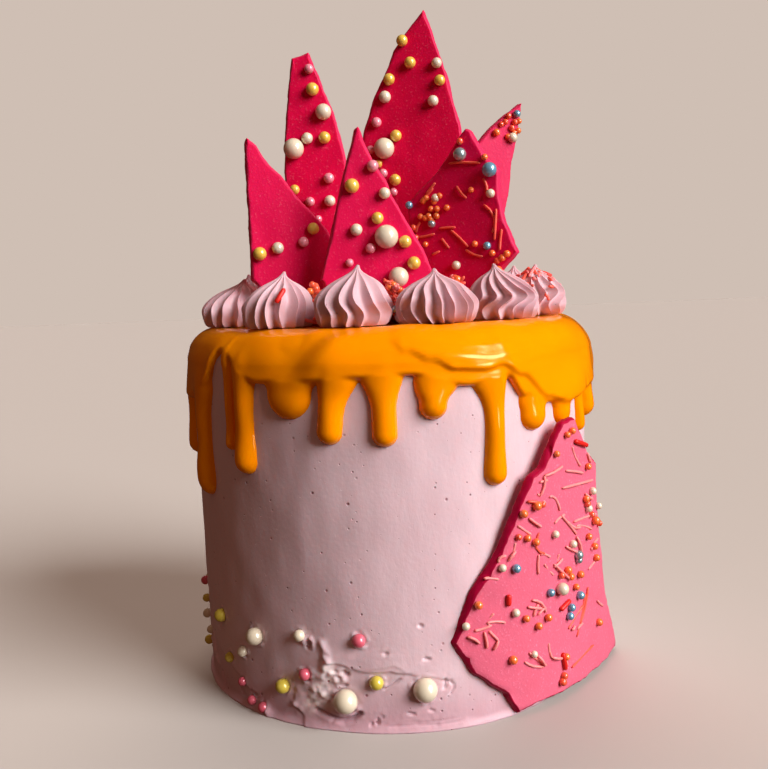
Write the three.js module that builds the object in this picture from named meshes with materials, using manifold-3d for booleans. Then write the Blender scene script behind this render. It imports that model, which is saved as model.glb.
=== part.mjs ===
// A tall round cake in smooth mauve buttercream, with an orange glaze that drips down its
// wall, a ring of piped swirls, a bed of sprinkles and six shards of crimson candy on top,
// one large shard on its side, and sugar pearls round its foot.
// Millimetres, +Z up. The origin is the centre of the base, and the front faces -Y.
// An azimuth is in degrees: 0 is the front, 90 is +X.

import * as THREE from "three";
import { mergeVertices } from "three/addons/utils/BufferGeometryUtils.js";
import Module from "manifold-3d";

const wasm = await Module();
wasm.setup();

// Driving sizes
const CAKE_HEIGHT = 140; // base to the top of the glaze
const BASE_RADIUS = 79;
const WALL_FLARE = 1.2; // the wall is this much wider at its top
const GLAZE_DEPTH = 3; // on the flat top
const CLEARANCE = 0.3; // between pieces that touch
const SWIRL_RING_RADIUS = 60.5;
const SHARD_THICKNESS = 3.6;
const SHARD_FOOT = 12; // how deep a shard stands in the cake
const FOOT_TOP = 16; // its foot is straight up to here, over the glaze
const ROUND_SEGMENTS = 40;

// Sizes that follow from them
const CREAM_TOP = CAKE_HEIGHT - GLAZE_DEPTH;
const CREAM_FILLET = 10;
const GLAZE_FILLET = 12;
const SHOULDER_GLAZE = 1.2; // what stays on the rounded edge
const EDGE_GLAZE = 2.8; // what gathers where the first pour stops
const DRIP_BULGE = 4;

const COLOURS = {
  buttercream: 0xd2abb0,
  glaze: 0xf79400,
  swirl: 0xd3a0ab,
  shard: 0xc4093f,
  sideShard: 0xf0527f,
  sprinkle: 0xe8523c,
};

// Numbers from 0 to 1 that are the same on every run.
function seededRandom(seed) {
  let state = seed;
  return () => {
    state = (state * 1664525 + 1013904223) >>> 0;
    return state / 4294967296;
  };
}

function around(azimuth, radius, height) {
  const turn = THREE.MathUtils.degToRad(azimuth);
  return new THREE.Vector3(radius * Math.sin(turn), -radius * Math.cos(turn), height);
}

function azimuthOf(point) {
  return THREE.MathUtils.radToDeg(Math.atan2(point.x, -point.y));
}

// A smooth curve through [azimuth, value] pairs that close on themselves.
function roundTable(pairs, azimuth) {
  const turned = ((azimuth - pairs[0][0]) % 360 + 360) % 360 + pairs[0][0];
  const closed = [...pairs, [pairs[0][0] + 360, pairs[0][1]]];
  const next = closed.findIndex(([at]) => at > turned);
  const [fromAt, from] = closed[next - 1];
  const [toAt, to] = closed[next];
  const share = (turned - fromAt) / (toAt - fromAt);
  return THREE.MathUtils.lerp(from, to, (1 - Math.cos(Math.PI * share)) / 2);
}

// A solid of revolution about +Z from [radius, height] pairs, bottom to top.
function lathe(profile, segments) {
  const points = profile.map(([radius, height]) => new THREE.Vector2(radius, height));
  return new THREE.LatheGeometry(points, segments).rotateX(Math.PI / 2);
}

// Moves each vertex of a geometry to where the function puts it.
function reshape(geometry, move) {
  const position = geometry.getAttribute("position");
  const point = new THREE.Vector3();
  for (let i = 0; i < position.count; i += 1) {
    point.fromBufferAttribute(position, i);
    move(point);
    position.setXYZ(i, point.x, point.y, point.z);
  }
  return geometry;
}

// A closed geometry as a solid that can be joined and cut.
function solidOf(geometry) {
  const bare = geometry.clone();
  bare.deleteAttribute("normal");
  bare.deleteAttribute("uv");
  const merged = mergeVertices(bare, 1e-3);
  return new wasm.Manifold(
    new wasm.Mesh({
      numProp: 3,
      vertProperties: Float32Array.from(merged.getAttribute("position").array),
      triVerts: Uint32Array.from(merged.index.array),
    }),
  );
}

function geometryOf(solid) {
  const mesh = solid.getMesh();
  const geometry = new THREE.BufferGeometry();
  geometry.setAttribute("position", new THREE.BufferAttribute(mesh.vertProperties, 3));
  geometry.setIndex(new THREE.BufferAttribute(mesh.triVerts, 1));
  geometry.computeVertexNormals();
  return geometry;
}

function fuse(solids) {
  return solids.reduce((whole, piece) => whole.add(piece));
}

// A cut can leave loose scraps beside the piece: this keeps the piece.
function withoutScraps(solid) {
  return solid.decompose().reduce((most, piece) => (piece.volume() > most.volume() ? piece : most));
}

function material(color, roughness) {
  return new THREE.MeshStandardMaterial({ color, roughness, metalness: 0 });
}

// Sugar pearls, nonpareils and strands

// A ball with as many faces as its size needs.
function pearl(diameter) {
  if (diameter < 5) return new THREE.IcosahedronGeometry(diameter / 2, 0);
  if (diameter < 8) return new THREE.OctahedronGeometry(diameter / 2, 1);
  return new THREE.IcosahedronGeometry(diameter / 2, 1);
}

// A thin stick of sugar that lies along X.
function strand(length) {
  const thickness = 1.4;
  return new THREE.BoxGeometry(length, thickness, thickness);
}

// The buttercream cake

// Radius of the buttercream at a height, with its rounded top edge.
function creamRadius(height) {
  const wall = BASE_RADIUS + WALL_FLARE * Math.min(height / CREAM_TOP, 1);
  const intoFillet = Math.max(height - (CREAM_TOP - CREAM_FILLET), 0);
  return wall - CREAM_FILLET + Math.sqrt(Math.max(CREAM_FILLET ** 2 - intoFillet ** 2, 0));
}

// The scraper leaves the wall a little uneven, less so under the glaze.
function scraperWave(azimuth, height) {
  const turn = THREE.MathUtils.degToRad(azimuth);
  const wave = 0.3 * Math.sin(2 * turn + 0.6) + 0.2 * Math.sin(5 * turn + height / 30);
  return wave * Math.min(1, (CREAM_TOP - height) / (CREAM_TOP / 2));
}

function creamSolid(grow) {
  const heights = [1.5, 14, 50, 95, 129, 134, 136.4];
  const profile = [
    [0, -grow],
    [BASE_RADIUS - 1 + grow, -grow],
    ...heights.map((height) => [creamRadius(height) + grow, height + grow]),
    [creamRadius(CREAM_TOP) + grow, CREAM_TOP + grow],
    [0, CREAM_TOP + grow],
  ];
  const body = lathe(profile, ROUND_SEGMENTS);
  reshape(body, (point) => {
    const radius = Math.hypot(point.x, point.y);
    if (radius < BASE_RADIUS / 2) return;
    const scale = 1 + scraperWave(azimuthOf(point), point.z) / radius;
    point.x *= scale;
    point.y *= scale;
  });
  return solidOf(body);
}

// Pearls pressed into the foot of the wall: [azimuth, height, diameter, how far its centre
// stands out of the wall, as a share of the diameter]
const PEARL_PROUD = 0.12;
const FOOT_PEARLS = [
  [-79, 36.5, 3.6, 0.25], [-79, 29, 3.4, 0.25], [-79, 22.5, 3.8, 0.25], [-72, 19, 3.4],
  [-58, 31, 5.2], [-77.5, 12, 3.8, 0.25], [-41, 29, 6.5], [-26, 33, 4.2], [-10, 33, 4.8],
  [-47, 21, 4], [-54, 16, 4], [-25, 19, 4.4], [-32, 13, 5.3], [-14, 11, 8.6], [-6, 18, 5],
  [6, 15, 8.6], [-48, 9, 3.4], [-44, 3.5, 3.6], [-39.5, 2.5, 4],
];

// The trail of pearls runs on, thinner, round the side that faces away.
function hiddenFootPearls() {
  const random = seededRandom(7);
  const count = 8;
  return Array.from({ length: count }, (_, i) => {
    const azimuth = -90 - (i / count) * 130 - 5 * random();
    const height = 6 + 30 * random() ** 1.4;
    return [azimuth, height, 3.4 + 3.4 * random() ** 2];
  });
}

function footPearls() {
  const pearls = [...FOOT_PEARLS, ...hiddenFootPearls()];
  return pearls.map(([azimuth, height, diameter, proud = PEARL_PROUD]) => {
    const place = around(azimuth, creamRadius(height) + proud * diameter, height);
    return solidOf(pearl(diameter).translate(place.x, place.y, place.z));
  });
}

// A long low lump that lies along the wall: turned by an angle from level.
function wallLump({ azimuth, height, length, width, depth, angle }) {
  const lump = new THREE.OctahedronGeometry(1, 1)
    .scale(length / 2, depth, width / 2)
    .rotateY(THREE.MathUtils.degToRad(-angle))
    .rotateZ(THREE.MathUtils.degToRad(azimuth));
  const place = around(azimuth, creamRadius(height), height);
  return solidOf(lump.translate(place.x, place.y, place.z));
}

// Buttercream that was pushed up and dragged at the foot of the wall
const SMEARS = [
  { azimuth: -22, height: 22, length: 24, width: 6, depth: 2.4, angle: 68 },
  { azimuth: -19, height: 17, length: 13, width: 7, depth: 2.6, angle: -20 },
  { azimuth: -5, height: 26, length: 34, width: 3.5, depth: 1.2, angle: -12 },
  { azimuth: 4, height: 7, length: 26, width: 7, depth: 1.6, angle: 4 },
];
const GOUGES = [
  { azimuth: -15, height: 5, length: 17, width: 5, depth: 1.6, angle: -4 },
  { azimuth: -29, height: 24, length: 9, width: 6, depth: 1.4, angle: 60 },
];

function cakeBody() {
  const cream = creamSolid(0).add(fuse(SMEARS.map(wallLump))).subtract(fuse(GOUGES.map(wallLump)));
  return fuse([cream, ...footPearls()]);
}

// The glaze

// How far below the top the glaze ends between the drips: [azimuth, drop]
const GLAZE_EDGE = [
  [-68, 19], [-49, 7], [-33, 20.5], [-18.5, 18], [-7.4, 17], [4.3, 16.3], [19, 21],
  [29.5, 18.7], [44, 28], [57, 31], [66, 29], [84, 23], [104, 20], [128, 24],
  [150, 17], [176, 22], [198, 18], [222, 23], [246, 19], [268, 22],
];

// Where the second pour stops, as a share of the way down to that edge
const SECOND_POUR = [
  [-88, 0.3], [-68, 0.3], [-33, 0.5], [-22, 0.8], [-14, 0.45], [4, 0.45], [14, 0.72], [23, 0.72],
  [29.5, 0.74], [39, 0.86], [52, 0.92], [84, 0.85], [110, 0.6], [180, 0.5], [240, 0.55],
];

// Drips that show, left to right: [azimuth, drop of the tip, half width]
const DRIPS = [
  [-86, 52, 4.6], [-61, 62.5, 6.2], [-45.5, 43, 2.8], [-40, 51, 5], [-25.5, 30.5, 8.4],
  [-15, 39, 4.7], [-1.5, 40, 4.6], [10.4, 31.5, 5], [26.2, 56.2, 4.9], [38.6, 39, 6.4],
  [51, 39, 5.6], [63, 44, 2.8], [72, 40, 5],
];

// The rest go round the far side at uneven steps.
function hiddenDrips() {
  const random = seededRandom(21);
  const first = 88;
  const last = 264;
  const count = 9;
  return Array.from({ length: count }, (_, i) => {
    const azimuth = first + ((last - first) * (i + 0.5 * random())) / (count - 0.5);
    return [azimuth, 32 + 26 * random(), 4.2 + 1.6 * random()];
  });
}

// Outer radius of a glaze of some thickness at a drop below the top
function glazeRadius(drop, thickness) {
  const intoFillet = Math.max(GLAZE_FILLET - drop, 0);
  const flat = BASE_RADIUS + WALL_FLARE + thickness - GLAZE_FILLET;
  return flat + Math.sqrt(Math.max(GLAZE_FILLET ** 2 - intoFillet ** 2, 0));
}

// Rows of the glaze's outside, from its lower lip to the flat top. Each gives its share of
// the drop and its thickness over the wall, from where the second pour stops.
const GLAZE_ROWS = [
  () => [1, -3],
  () => [1.02, SHOULDER_GLAZE],
  () => [0.95, EDGE_GLAZE],
  (pour) => [pour + 0.03, SHOULDER_GLAZE + 1.1 * pour],
  (pour) => [pour - 0.06, SHOULDER_GLAZE + 3 * pour],
  (pour) => [0.6 * pour, SHOULDER_GLAZE + 1.3 * pour],
  () => [0.18, SHOULDER_GLAZE],
  () => [0.06, SHOULDER_GLAZE],
  () => [0, SHOULDER_GLAZE],
];

function glazeCap() {
  const rows = GLAZE_ROWS.map((_, row) => [BASE_RADIUS, row + 1]);
  const cap = lathe([[0, 0], ...rows, [0, rows.length + 1]], ROUND_SEGMENTS);
  return reshape(cap, (point) => {
    const row = Math.round(point.z) - 1;
    if (row < 0 || row >= rows.length) {
      point.z = row < 0 ? CREAM_TOP - 2 * GLAZE_FILLET : CAKE_HEIGHT;
      return;
    }
    const azimuth = azimuthOf(point);
    const [share, thickness] = GLAZE_ROWS[row](roundTable(SECOND_POUR, azimuth));
    const drop = share * roundTable(GLAZE_EDGE, azimuth);
    point.copy(around(azimuth, glazeRadius(drop, thickness), CAKE_HEIGHT - drop));
  });
}

// A drip is a long drop with its axis on the wall, flared at its root, with a full tip.
function drip([azimuth, drop, halfWidth], segments) {
  const tip = CAKE_HEIGHT - drop;
  const edge = CAKE_HEIGHT - roundTable(GLAZE_EDGE, azimuth);
  const neck = Math.max((tip + 2 * halfWidth + edge) / 2, tip + 1.6 * halfWidth);
  const rows = [
    { width: 0.62, bulge: 0.6, height: tip + 0.25 * halfWidth },
    { width: 1, bulge: 1, height: tip + 0.95 * halfWidth },
    { width: 0.92, bulge: 0.88, height: neck },
    { width: 1.5, bulge: 0.7, height: Math.max(edge + 2, neck + 2) },
  ];
  const profile = rows.map(({ width, height }) => [width * halfWidth, height]);
  const top = profile.at(-1)[1] + 4;
  const drop3d = lathe([[0, tip], ...profile, [0, top]], segments);
  reshape(drop3d, (point) => {
    const row = rows.find(({ height }) => Math.abs(height - point.z) < 1e-4);
    const bulge = row ? (point.y / (row.width * halfWidth)) * row.bulge * DRIP_BULGE : 0;
    const turn = azimuth + THREE.MathUtils.radToDeg(point.x / BASE_RADIUS);
    point.copy(around(turn, creamRadius(point.z) - bulge, point.z));
  });
  return solidOf(drop3d);
}

function glazeSolid() {
  const shown = DRIPS.map((spec) => drip(spec, 8));
  const hidden = hiddenDrips().map((spec) => drip(spec, 6));
  return fuse([solidOf(glazeCap()), ...shown, ...hidden]).subtract(creamSolid(CLEARANCE));
}

// Piped swirls

// A swirl from a star nozzle. Each ridge leans round as it climbs, and bends on its way.
function swirl({ radius, height, ridges, twist, bend, tipLean }) {
  const profile = [
    [0.84, 0], [1, 0.2], [0.95, 0.45], [0.6, 0.72], [0.13, 0.92],
  ].map(([across, up]) => [across * radius, up * height]);
  const ridgeDepth = 0.2;
  const stepDegrees = 180 / ridges;
  const star = lathe([[0, 0], ...profile, [0, height]], 2 * ridges);
  return reshape(star, (point) => {
    const across = Math.hypot(point.x, point.y);
    const up = point.z / height;
    if (across > 1e-6) {
      const azimuth = azimuthOf(point);
      const valley = Math.abs(Math.round(azimuth / stepDegrees)) % 2 === 1;
      const turned = azimuth + twist * up + bend * Math.sin(2 * Math.PI * up);
      point.copy(around(turned, across * (valley ? 1 - ridgeDepth : 1), point.z));
    }
    point.x += tipLean * up ** 3;
  });
}

// Those that show, left to right, then six like them round the far side
const SHOWN_SWIRLS = [
  { azimuth: -78, radius: 15, height: 18.5, ridges: 13, twist: 20, bend: 4, tipLean: 2.9 },
  { azimuth: -40.5, radius: 13.5, height: 20, ridges: 13, twist: 14, bend: 4, tipLean: 2.7 },
  { azimuth: -11, radius: 13.9, height: 21, ridges: 13, twist: 20, bend: 9, tipLean: 2.2 },
  { azimuth: 17, radius: 14.8, height: 18.8, ridges: 13, twist: -22, bend: 6, tipLean: -0.3 },
  { azimuth: 45, radius: 13.4, height: 20, ridges: 13, twist: -26, bend: 15, tipLean: -2.7 },
  { azimuth: 77, radius: 12.9, height: 19.8, ridges: 13, twist: -20, bend: 11, tipLean: 1.2 },
];

function hiddenSwirls() {
  const random = seededRandom(5);
  const first = 112;
  const count = 6;
  const step = (282 - first) / count;
  return Array.from({ length: count }, (_, i) => ({
    azimuth: first + step * i,
    radius: 13.3 + 0.9 * random(),
    height: 18.5 + 2.5 * random(),
    ridges: 10,
    twist: 40 * random() - 20,
    bend: 4 + 9 * random(),
    tipLean: 3 * random() - 1.5,
  }));
}

const SWIRLS = [...SHOWN_SWIRLS, ...hiddenSwirls()];

// Strands that fell on two of the swirls: [azimuth, radius, height over the glaze, length]
const STRAY_STRANDS = {
  1: [[-42, 68, 13.5, 7]],
  5: [[74, 58, 17, 8], [79, 64, 16, 7]],
};

function swirlSolid(spec, index) {
  const centre = around(spec.azimuth, SWIRL_RING_RADIUS, CAKE_HEIGHT + CLEARANCE);
  const piped = solidOf(swirl(spec).translate(centre.x, centre.y, centre.z));
  const strays = (STRAY_STRANDS[index] ?? []).map(([azimuth, radius, height, length]) => {
    const place = around(azimuth, radius, CAKE_HEIGHT + height);
    return solidOf(strand(length).rotateZ(azimuth).translate(place.x, place.y, place.z));
  });
  return fuse([piped, ...strays]);
}

// Candy shards

// The flat of a shard in its own plane: X across, Y up from the glaze, front towards +Z
function plate(outline, thickness) {
  const shape = new THREE.Shape(outline.map(([across, up]) => new THREE.Vector2(across, up)));
  const settings = { depth: thickness, bevelEnabled: false };
  return new THREE.ExtrudeGeometry(shape, settings).translate(0, 0, -thickness);
}

// Six broken shards stand on the cake. Each has its place, the azimuth that it faces, its
// outline over a straight foot, and its pearls as [across, up, diameter].
const SHARDS = [
  {
    name: "shard_front_left", place: [-36, -25], facing: 12,
    foot: [-13, 17],
    outline: [
      [-15.5, 18], [-15.5, 70], [-14.5, 72], [-11, 69], [-9, 65.5], [-6, 61.5], [-2, 57.5],
      [1, 53.5], [3.5, 49.5], [8, 45], [12, 40], [15, 36.5], [19, 26],
    ],
    pearls: [[9, 37, 4.6], [5, 32, 4], [-12, 28, 5.2], [-5, 30, 4.6]],
  },
  {
    name: "shard_back_left", place: [-26, -6], facing: 0,
    foot: [-12, 12],
    outline: [
      [-13, 40], [-13, 61], [-12, 77], [-10, 94], [-8, 106], [-5, 106.5],
      [-1, 108], [4, 94], [8, 84], [10, 76], [12, 67], [14, 40],
    ],
    pearls: [
      [-1, 101, 3.8], [0, 93, 5.2], [4, 84, 6.4], [-3, 74, 4.6], [4, 74, 4.8], [-8.5, 70, 8.2],
      [5, 58, 4.2], [-3, 49, 3.8], [5, 49, 4.5], [-9, 54, 4], [0, 42, 3],
    ],
  },
  {
    name: "shard_front", place: [-3, -37], facing: 4,
    foot: [-20, 20],
    outline: [
      [-21, 17], [-17, 32], [-13, 48], [-9, 62], [-6, 72], [-4.5, 73],
      [-3, 68], [0, 61], [5, 53], [7, 47], [12, 38], [18, 27], [22, 17],
    ],
    pearls: [
      [0, 58, 4.4], [-8, 51, 5.4], [4, 48, 4.3], [1, 39, 4.5], [-7, 35, 4.5], [4, 32, 8.8],
      [11, 30, 4.7], [-2, 28, 3.8], [14, 22, 4.9], [8, 17, 7.5], [-10, 23, 3],
    ],
  },
  {
    name: "shard_tall", place: [10, 8], facing: -10,
    foot: [-18, 20],
    outline: [
      [-21, 35], [-20, 66], [-17, 79], [-12, 93], [-7, 102], [-3, 111],
      [1, 116], [5, 121], [10, 126], [13, 118], [16, 108], [19, 99], [21, 89], [24, 78],
      [25, 50],
    ],
    pearls: [
      [1, 114, 4.7], [4, 105, 4.7], [15, 104, 4.3], [16, 97, 4.5], [-5, 99, 4.8], [-7, 92, 5],
      [13, 89, 4.5], [-11, 82, 4.2], [-3, 76, 4.8], [-8, 71, 8.6], [-14, 71, 3.5],
      [-11, 65, 3.5], [-9, 61, 3.8], [-4, 58, 4.8], [-5, 53, 3.5],
    ],
  },
  {
    name: "shard_dark", place: [28, -14], facing: -25,
    foot: [-17, 17],
    outline: [
      [-19, 30], [-20, 47], [-13, 53], [-7, 58], [-2, 64],
      [3, 71], [6, 74], [8, 73], [14, 62], [19, 57], [19, 46], [21, 37], [26, 25],
    ],
    pearls: [
      [4, 64, 5.2], [16, 57, 5.8], [16, 48, 3.5], [-7, 48, 3.3], [-18.5, 46, 3.2], [-9, 38, 3.2],
      [14, 28, 3.2], [1, 21, 3.6], [4, 69, 2.7], [11, 64, 2.8],
    ],
    scatter: { centre: [-8, 43], reach: [11, 9], beads: 5, strands: 4 },
  },
  {
    name: "shard_far_right", place: [40, 13], facing: 20,
    foot: [-8, 4],
    outline: [
      [-8, 40], [-6, 66], [2, 73], [8, 79], [14, 84], [20, 88], [23, 90],
      [23, 87], [21, 76], [18, 65], [16, 51], [11, 32],
    ],
    pearls: [[20, 85, 3.2], [16, 84, 2.6], [20, 80.5, 2.6], [10, 77, 3.4], [17.5, 75, 4.2]],
  },
];

// True if a point lies inside an outline, and at least a margin from its edges
function insideOutline(outline, across, up, margin) {
  let inside = false;
  let nearest = Infinity;
  outline.forEach(([x1, y1], i) => {
    const [x0, y0] = outline.at(i - 1);
    if (y1 > up !== y0 > up && across < ((x0 - x1) * (up - y1)) / (y0 - y1) + x1) inside = !inside;
    const edge = new THREE.Line3(new THREE.Vector3(x0, y0, 0), new THREE.Vector3(x1, y1, 0));
    const point = new THREE.Vector3(across, up, 0);
    const closest = edge.closestPointToPoint(point, true, new THREE.Vector3());
    nearest = Math.min(nearest, closest.distanceTo(point));
  });
  return inside && nearest >= margin;
}

// Nonpareils and strands thrown about a centre, thickest there, that stay on the shard
function scatterOn(outline, { centre, reach, beads, strands }, seed) {
  const random = seededRandom(seed);
  const pieces = [];
  const spread = () => (random() + random() + random() - 1.5) / 1.5;
  const place = (margin) => {
    for (;;) {
      const across = centre[0] + reach[0] * 1.5 * spread();
      const up = centre[1] + reach[1] * 1.5 * spread();
      if (insideOutline(outline, across, up, margin)) return [across, up];
    }
  };
  for (let i = 0; i < beads; i += 1) {
    const [across, up] = place(2);
    pieces.push(pearl(2.4 + 0.6 * random()).translate(across, up, 0.5));
  }
  for (let i = 0; i < strands; i += 1) {
    const length = 7 + 4 * random();
    const [across, up] = place(length / 2 + 0.5);
    pieces.push(strand(length).rotateZ(Math.PI * random()).translate(across, up, 0.25));
  }
  return pieces.map(solidOf);
}

// The outline with its foot, which goes down into the cake
function standing({ foot: [left, right], outline }) {
  const down = -SHARD_FOOT;
  return [[left, down], [left, FOOT_TOP], ...outline, [right, FOOT_TOP], [right, down]];
}

function shardSolid(spec, index) {
  const { outline, pearls, scatter } = spec;
  const beads = pearls.map(([across, up, diameter]) =>
    solidOf(pearl(diameter).translate(across, up, 0.22 * diameter)),
  );
  const thrown = scatter ? scatterOn(outline, scatter, 40 + index) : [];
  const candy = solidOf(plate(standing(spec), SHARD_THICKNESS));
  return withoutScraps(fuse([candy, ...beads, ...thrown]));
}

// Turns a shard's own plane upright, to face an azimuth, and sets it on the cake.
function shardMatrix({ place, facing }) {
  const upright = new THREE.Matrix4().makeRotationX(Math.PI / 2);
  const turned = new THREE.Matrix4().makeRotationZ(THREE.MathUtils.degToRad(facing));
  const moved = new THREE.Matrix4().makeTranslation(place[0], place[1], CAKE_HEIGHT);
  return moved.multiply(turned).multiply(upright);
}

// The slot that a shard's foot makes in what it is pushed through
function slot(spec) {
  const [left, right] = spec.foot;
  const width = right - left + 2 * CLEARANCE;
  const height = SHARD_FOOT + FOOT_TOP + CLEARANCE;
  const cutter = new THREE.BoxGeometry(width, height, SHARD_THICKNESS + 2 * CLEARANCE);
  const middle = [(left + right) / 2, FOOT_TOP - height / 2, -SHARD_THICKNESS / 2];
  return solidOf(cutter.translate(...middle).applyMatrix4(shardMatrix(spec)));
}

// The large shard on the side of the cake

const SIDE_SHARD = {
  facing: 45, // azimuth
  distance: 82.9, // from the cake's axis to its front face, at its foot
  lean: 0.045, // it stands off more towards its top, where drips lie behind it
  bendRadius: 150,
  thickness: 3.2,
  outline: [
    [-14, 4], [7, 3.5], [20, 3], [37, 1.5], [54, 0.6], [55, 3], [46, 17], [37, 30], [33, 43],
    [29, 55.5], [25.5, 68], [23.5, 85], [15.5, 91], [11, 98], [5.5, 104.5], [-1.5, 103.5],
    [-5.5, 99], [-9.5, 93], [-12, 88.5], [-17, 86.5], [-21, 80], [-32, 59.5], [-41.5, 48],
    [-50, 34], [-51.5, 32.5], [-41.5, 19], [-33, 13], [-27, 9], [-22, 2],
  ],
  pearls: [
    [-25, 55, 3.2], [-8, 43, 3], [11, 37, 3.2], [5, 34, 3], [4, 31, 3], [9, 53, 3.4],
    [-2, 43, 4.7], [19, 75, 3], [16, 69, 3], [-6, 64, 2.8], [5, 58, 3], [-25, 39, 3],
    [-46, 37, 2.8], [-16, 76, 3.2], [21, 63, 3.4], [2, 49, 2.6], [11, 45, 2.6], [-9, 34, 3],
    [-14, 32, 2.8], [-26, 22, 3.2], [28, 21, 3.2], [3, 99, 2.4], [-6, 92, 2.4], [15, 85, 2.4],
  ],
  scatter: { centre: [-4, 45], reach: [36, 42], beads: 1, strands: 9 },
};

// A slab bent round the cake, cut to the shard's outline, with its toppings
function sideShardSolid() {
  const { distance, lean, bendRadius, thickness, outline, pearls, scatter, facing } = SIDE_SHARD;
  const bend = (point) => {
    point.z += distance + lean * point.y - point.x ** 2 / (2 * bendRadius);
  };
  const slab = new THREE.BoxGeometry(116, 120, thickness, 8, 1, 1).translate(0, 52, -thickness / 2);
  const cutter = plate(outline, 60).translate(0, 0, distance + 20);
  const shard = solidOf(reshape(slab, bend)).intersect(solidOf(cutter));
  const beads = pearls.map(([across, up, diameter]) => {
    const centre = new THREE.Vector3(across, up, 0.2 * diameter);
    bend(centre);
    return solidOf(pearl(diameter).translate(centre.x, centre.y, centre.z));
  });
  const inward = scatterOn(outline, scatter, 60).map((piece) =>
    piece.warp((vertex) => {
      const point = new THREE.Vector3(...vertex);
      bend(point);
      [vertex[0], vertex[1], vertex[2]] = point.toArray();
    }),
  );
  const upright = new THREE.Matrix4().makeRotationX(Math.PI / 2);
  const turned = new THREE.Matrix4().makeRotationZ(THREE.MathUtils.degToRad(facing));
  const whole = geometryOf(fuse([shard, ...beads, ...inward]));
  return withoutScraps(solidOf(whole.applyMatrix4(turned.multiply(upright))));
}

// The bed of sprinkles inside the ring of swirls

const BED_RADIUS = 45.5;
const BED_HEIGHT = 13.5;

// Height of the bare heap over the glaze, at a share of its radius
function bedHeight(share) {
  return BED_HEIGHT * (1 - 0.35 * share ** 2 - 0.45 * share ** 8);
}

function sprinkleBed(slots) {
  const shares = [1, 0.93, 0.75, 0.4];
  const profile = [
    [0, CLEARANCE], [BED_RADIUS, CLEARANCE],
    ...shares.map((share) => [BED_RADIUS * share, bedHeight(share)]),
    [0, BED_HEIGHT],
  ];
  const core = solidOf(lathe(profile, 20).translate(0, 0, CAKE_HEIGHT));
  const random = seededRandom(11);
  const pieces = [];
  const count = 21;
  for (let i = 0; i < count; i += 1) {
    const share = 0.92 * Math.sqrt((i + 0.5) / count);
    const place = around(137.5 * i, BED_RADIUS * share, CAKE_HEIGHT + bedHeight(share));
    const bead = i % 3 === 0;
    const shape = bead ? pearl(3) : strand(7 + 3 * random());
    const height = place.z + (bead ? 0.5 : 0.2);
    const topping = shape.rotateZ(2 * Math.PI * random()).translate(place.x, place.y, height);
    pieces.push(solidOf(topping));
  }
  const clear = pieces.filter((piece) => slots.every((gap) => gap.intersect(piece).isEmpty()));
  return withoutScraps(fuse([core, ...clear]).subtract(fuse(slots)));
}

// The whole cake

function addPiece(group, name, solid, look) {
  const mesh = new THREE.Mesh(geometryOf(solid), look);
  mesh.name = name;
  group.add(mesh);
  return mesh;
}

function buildCake() {
  const cake = new THREE.Group();
  const looks = {
    buttercream: material(COLOURS.buttercream, 0.7),
    glaze: material(COLOURS.glaze, 0.15),
    swirl: material(COLOURS.swirl, 0.7),
    shard: material(COLOURS.shard, 0.5),
    sideShard: material(COLOURS.sideShard, 0.5),
    sprinkle: material(COLOURS.sprinkle, 0.5),
  };
  const slots = SHARDS.map(slot);
  addPiece(cake, "cake_body", cakeBody().subtract(fuse(slots)), looks.buttercream);
  addPiece(cake, "glaze", glazeSolid().subtract(fuse(slots)), looks.glaze);
  SWIRLS.forEach((spec, index) => {
    const name = "swirl_" + String(index + 1).padStart(2, "0");
    addPiece(cake, name, swirlSolid(spec, index), looks.swirl);
  });
  SHARDS.forEach((spec, index) => {
    const mesh = addPiece(cake, spec.name, shardSolid(spec, index), looks.shard);
    mesh.applyMatrix4(shardMatrix(spec));
  });
  addPiece(cake, "side_shard", sideShardSolid(), looks.sideShard);
  addPiece(cake, "sprinkle_bed", sprinkleBed(slots), looks.sprinkle);
  return cake;
}

export default buildCake();
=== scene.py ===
# A tall buttercream cake with a dripping orange glaze, piped swirls, a bed of sprinkles, shards of
# candy and sugar pearls. Each section works in millimetres, and a mesh is turned to metres when it
# is made. An azimuth is in degrees: 0 is the front, towards -Y, and 90 is +X.

import math

import bpy
import numpy as np
from mathutils import Matrix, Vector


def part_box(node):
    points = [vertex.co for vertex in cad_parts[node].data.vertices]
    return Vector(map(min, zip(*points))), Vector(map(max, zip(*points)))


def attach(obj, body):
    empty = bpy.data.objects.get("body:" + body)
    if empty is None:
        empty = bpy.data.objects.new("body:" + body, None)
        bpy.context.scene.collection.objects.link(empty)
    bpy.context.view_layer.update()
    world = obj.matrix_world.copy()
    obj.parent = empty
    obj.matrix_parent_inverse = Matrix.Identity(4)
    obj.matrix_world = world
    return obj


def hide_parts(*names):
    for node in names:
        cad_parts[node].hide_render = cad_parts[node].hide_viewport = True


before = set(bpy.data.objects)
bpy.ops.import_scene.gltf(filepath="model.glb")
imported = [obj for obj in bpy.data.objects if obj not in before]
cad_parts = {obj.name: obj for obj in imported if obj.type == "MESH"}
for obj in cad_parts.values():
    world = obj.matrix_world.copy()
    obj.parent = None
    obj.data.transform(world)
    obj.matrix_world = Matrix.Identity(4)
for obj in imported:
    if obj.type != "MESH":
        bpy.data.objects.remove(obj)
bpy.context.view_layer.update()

# The camera
# It stands in front of the cake, level with its glaze, and looks a little down. It leans a touch to
# the left, as the picture does.
CAMERA_PLACE = (0.0, -0.3819, 0.1523)
CAMERA_TURNS = (("Z", 0.32), ("X", 90 - 5.88), ("Z", -2.26))
CAMERA_LENS = 42.82

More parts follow.
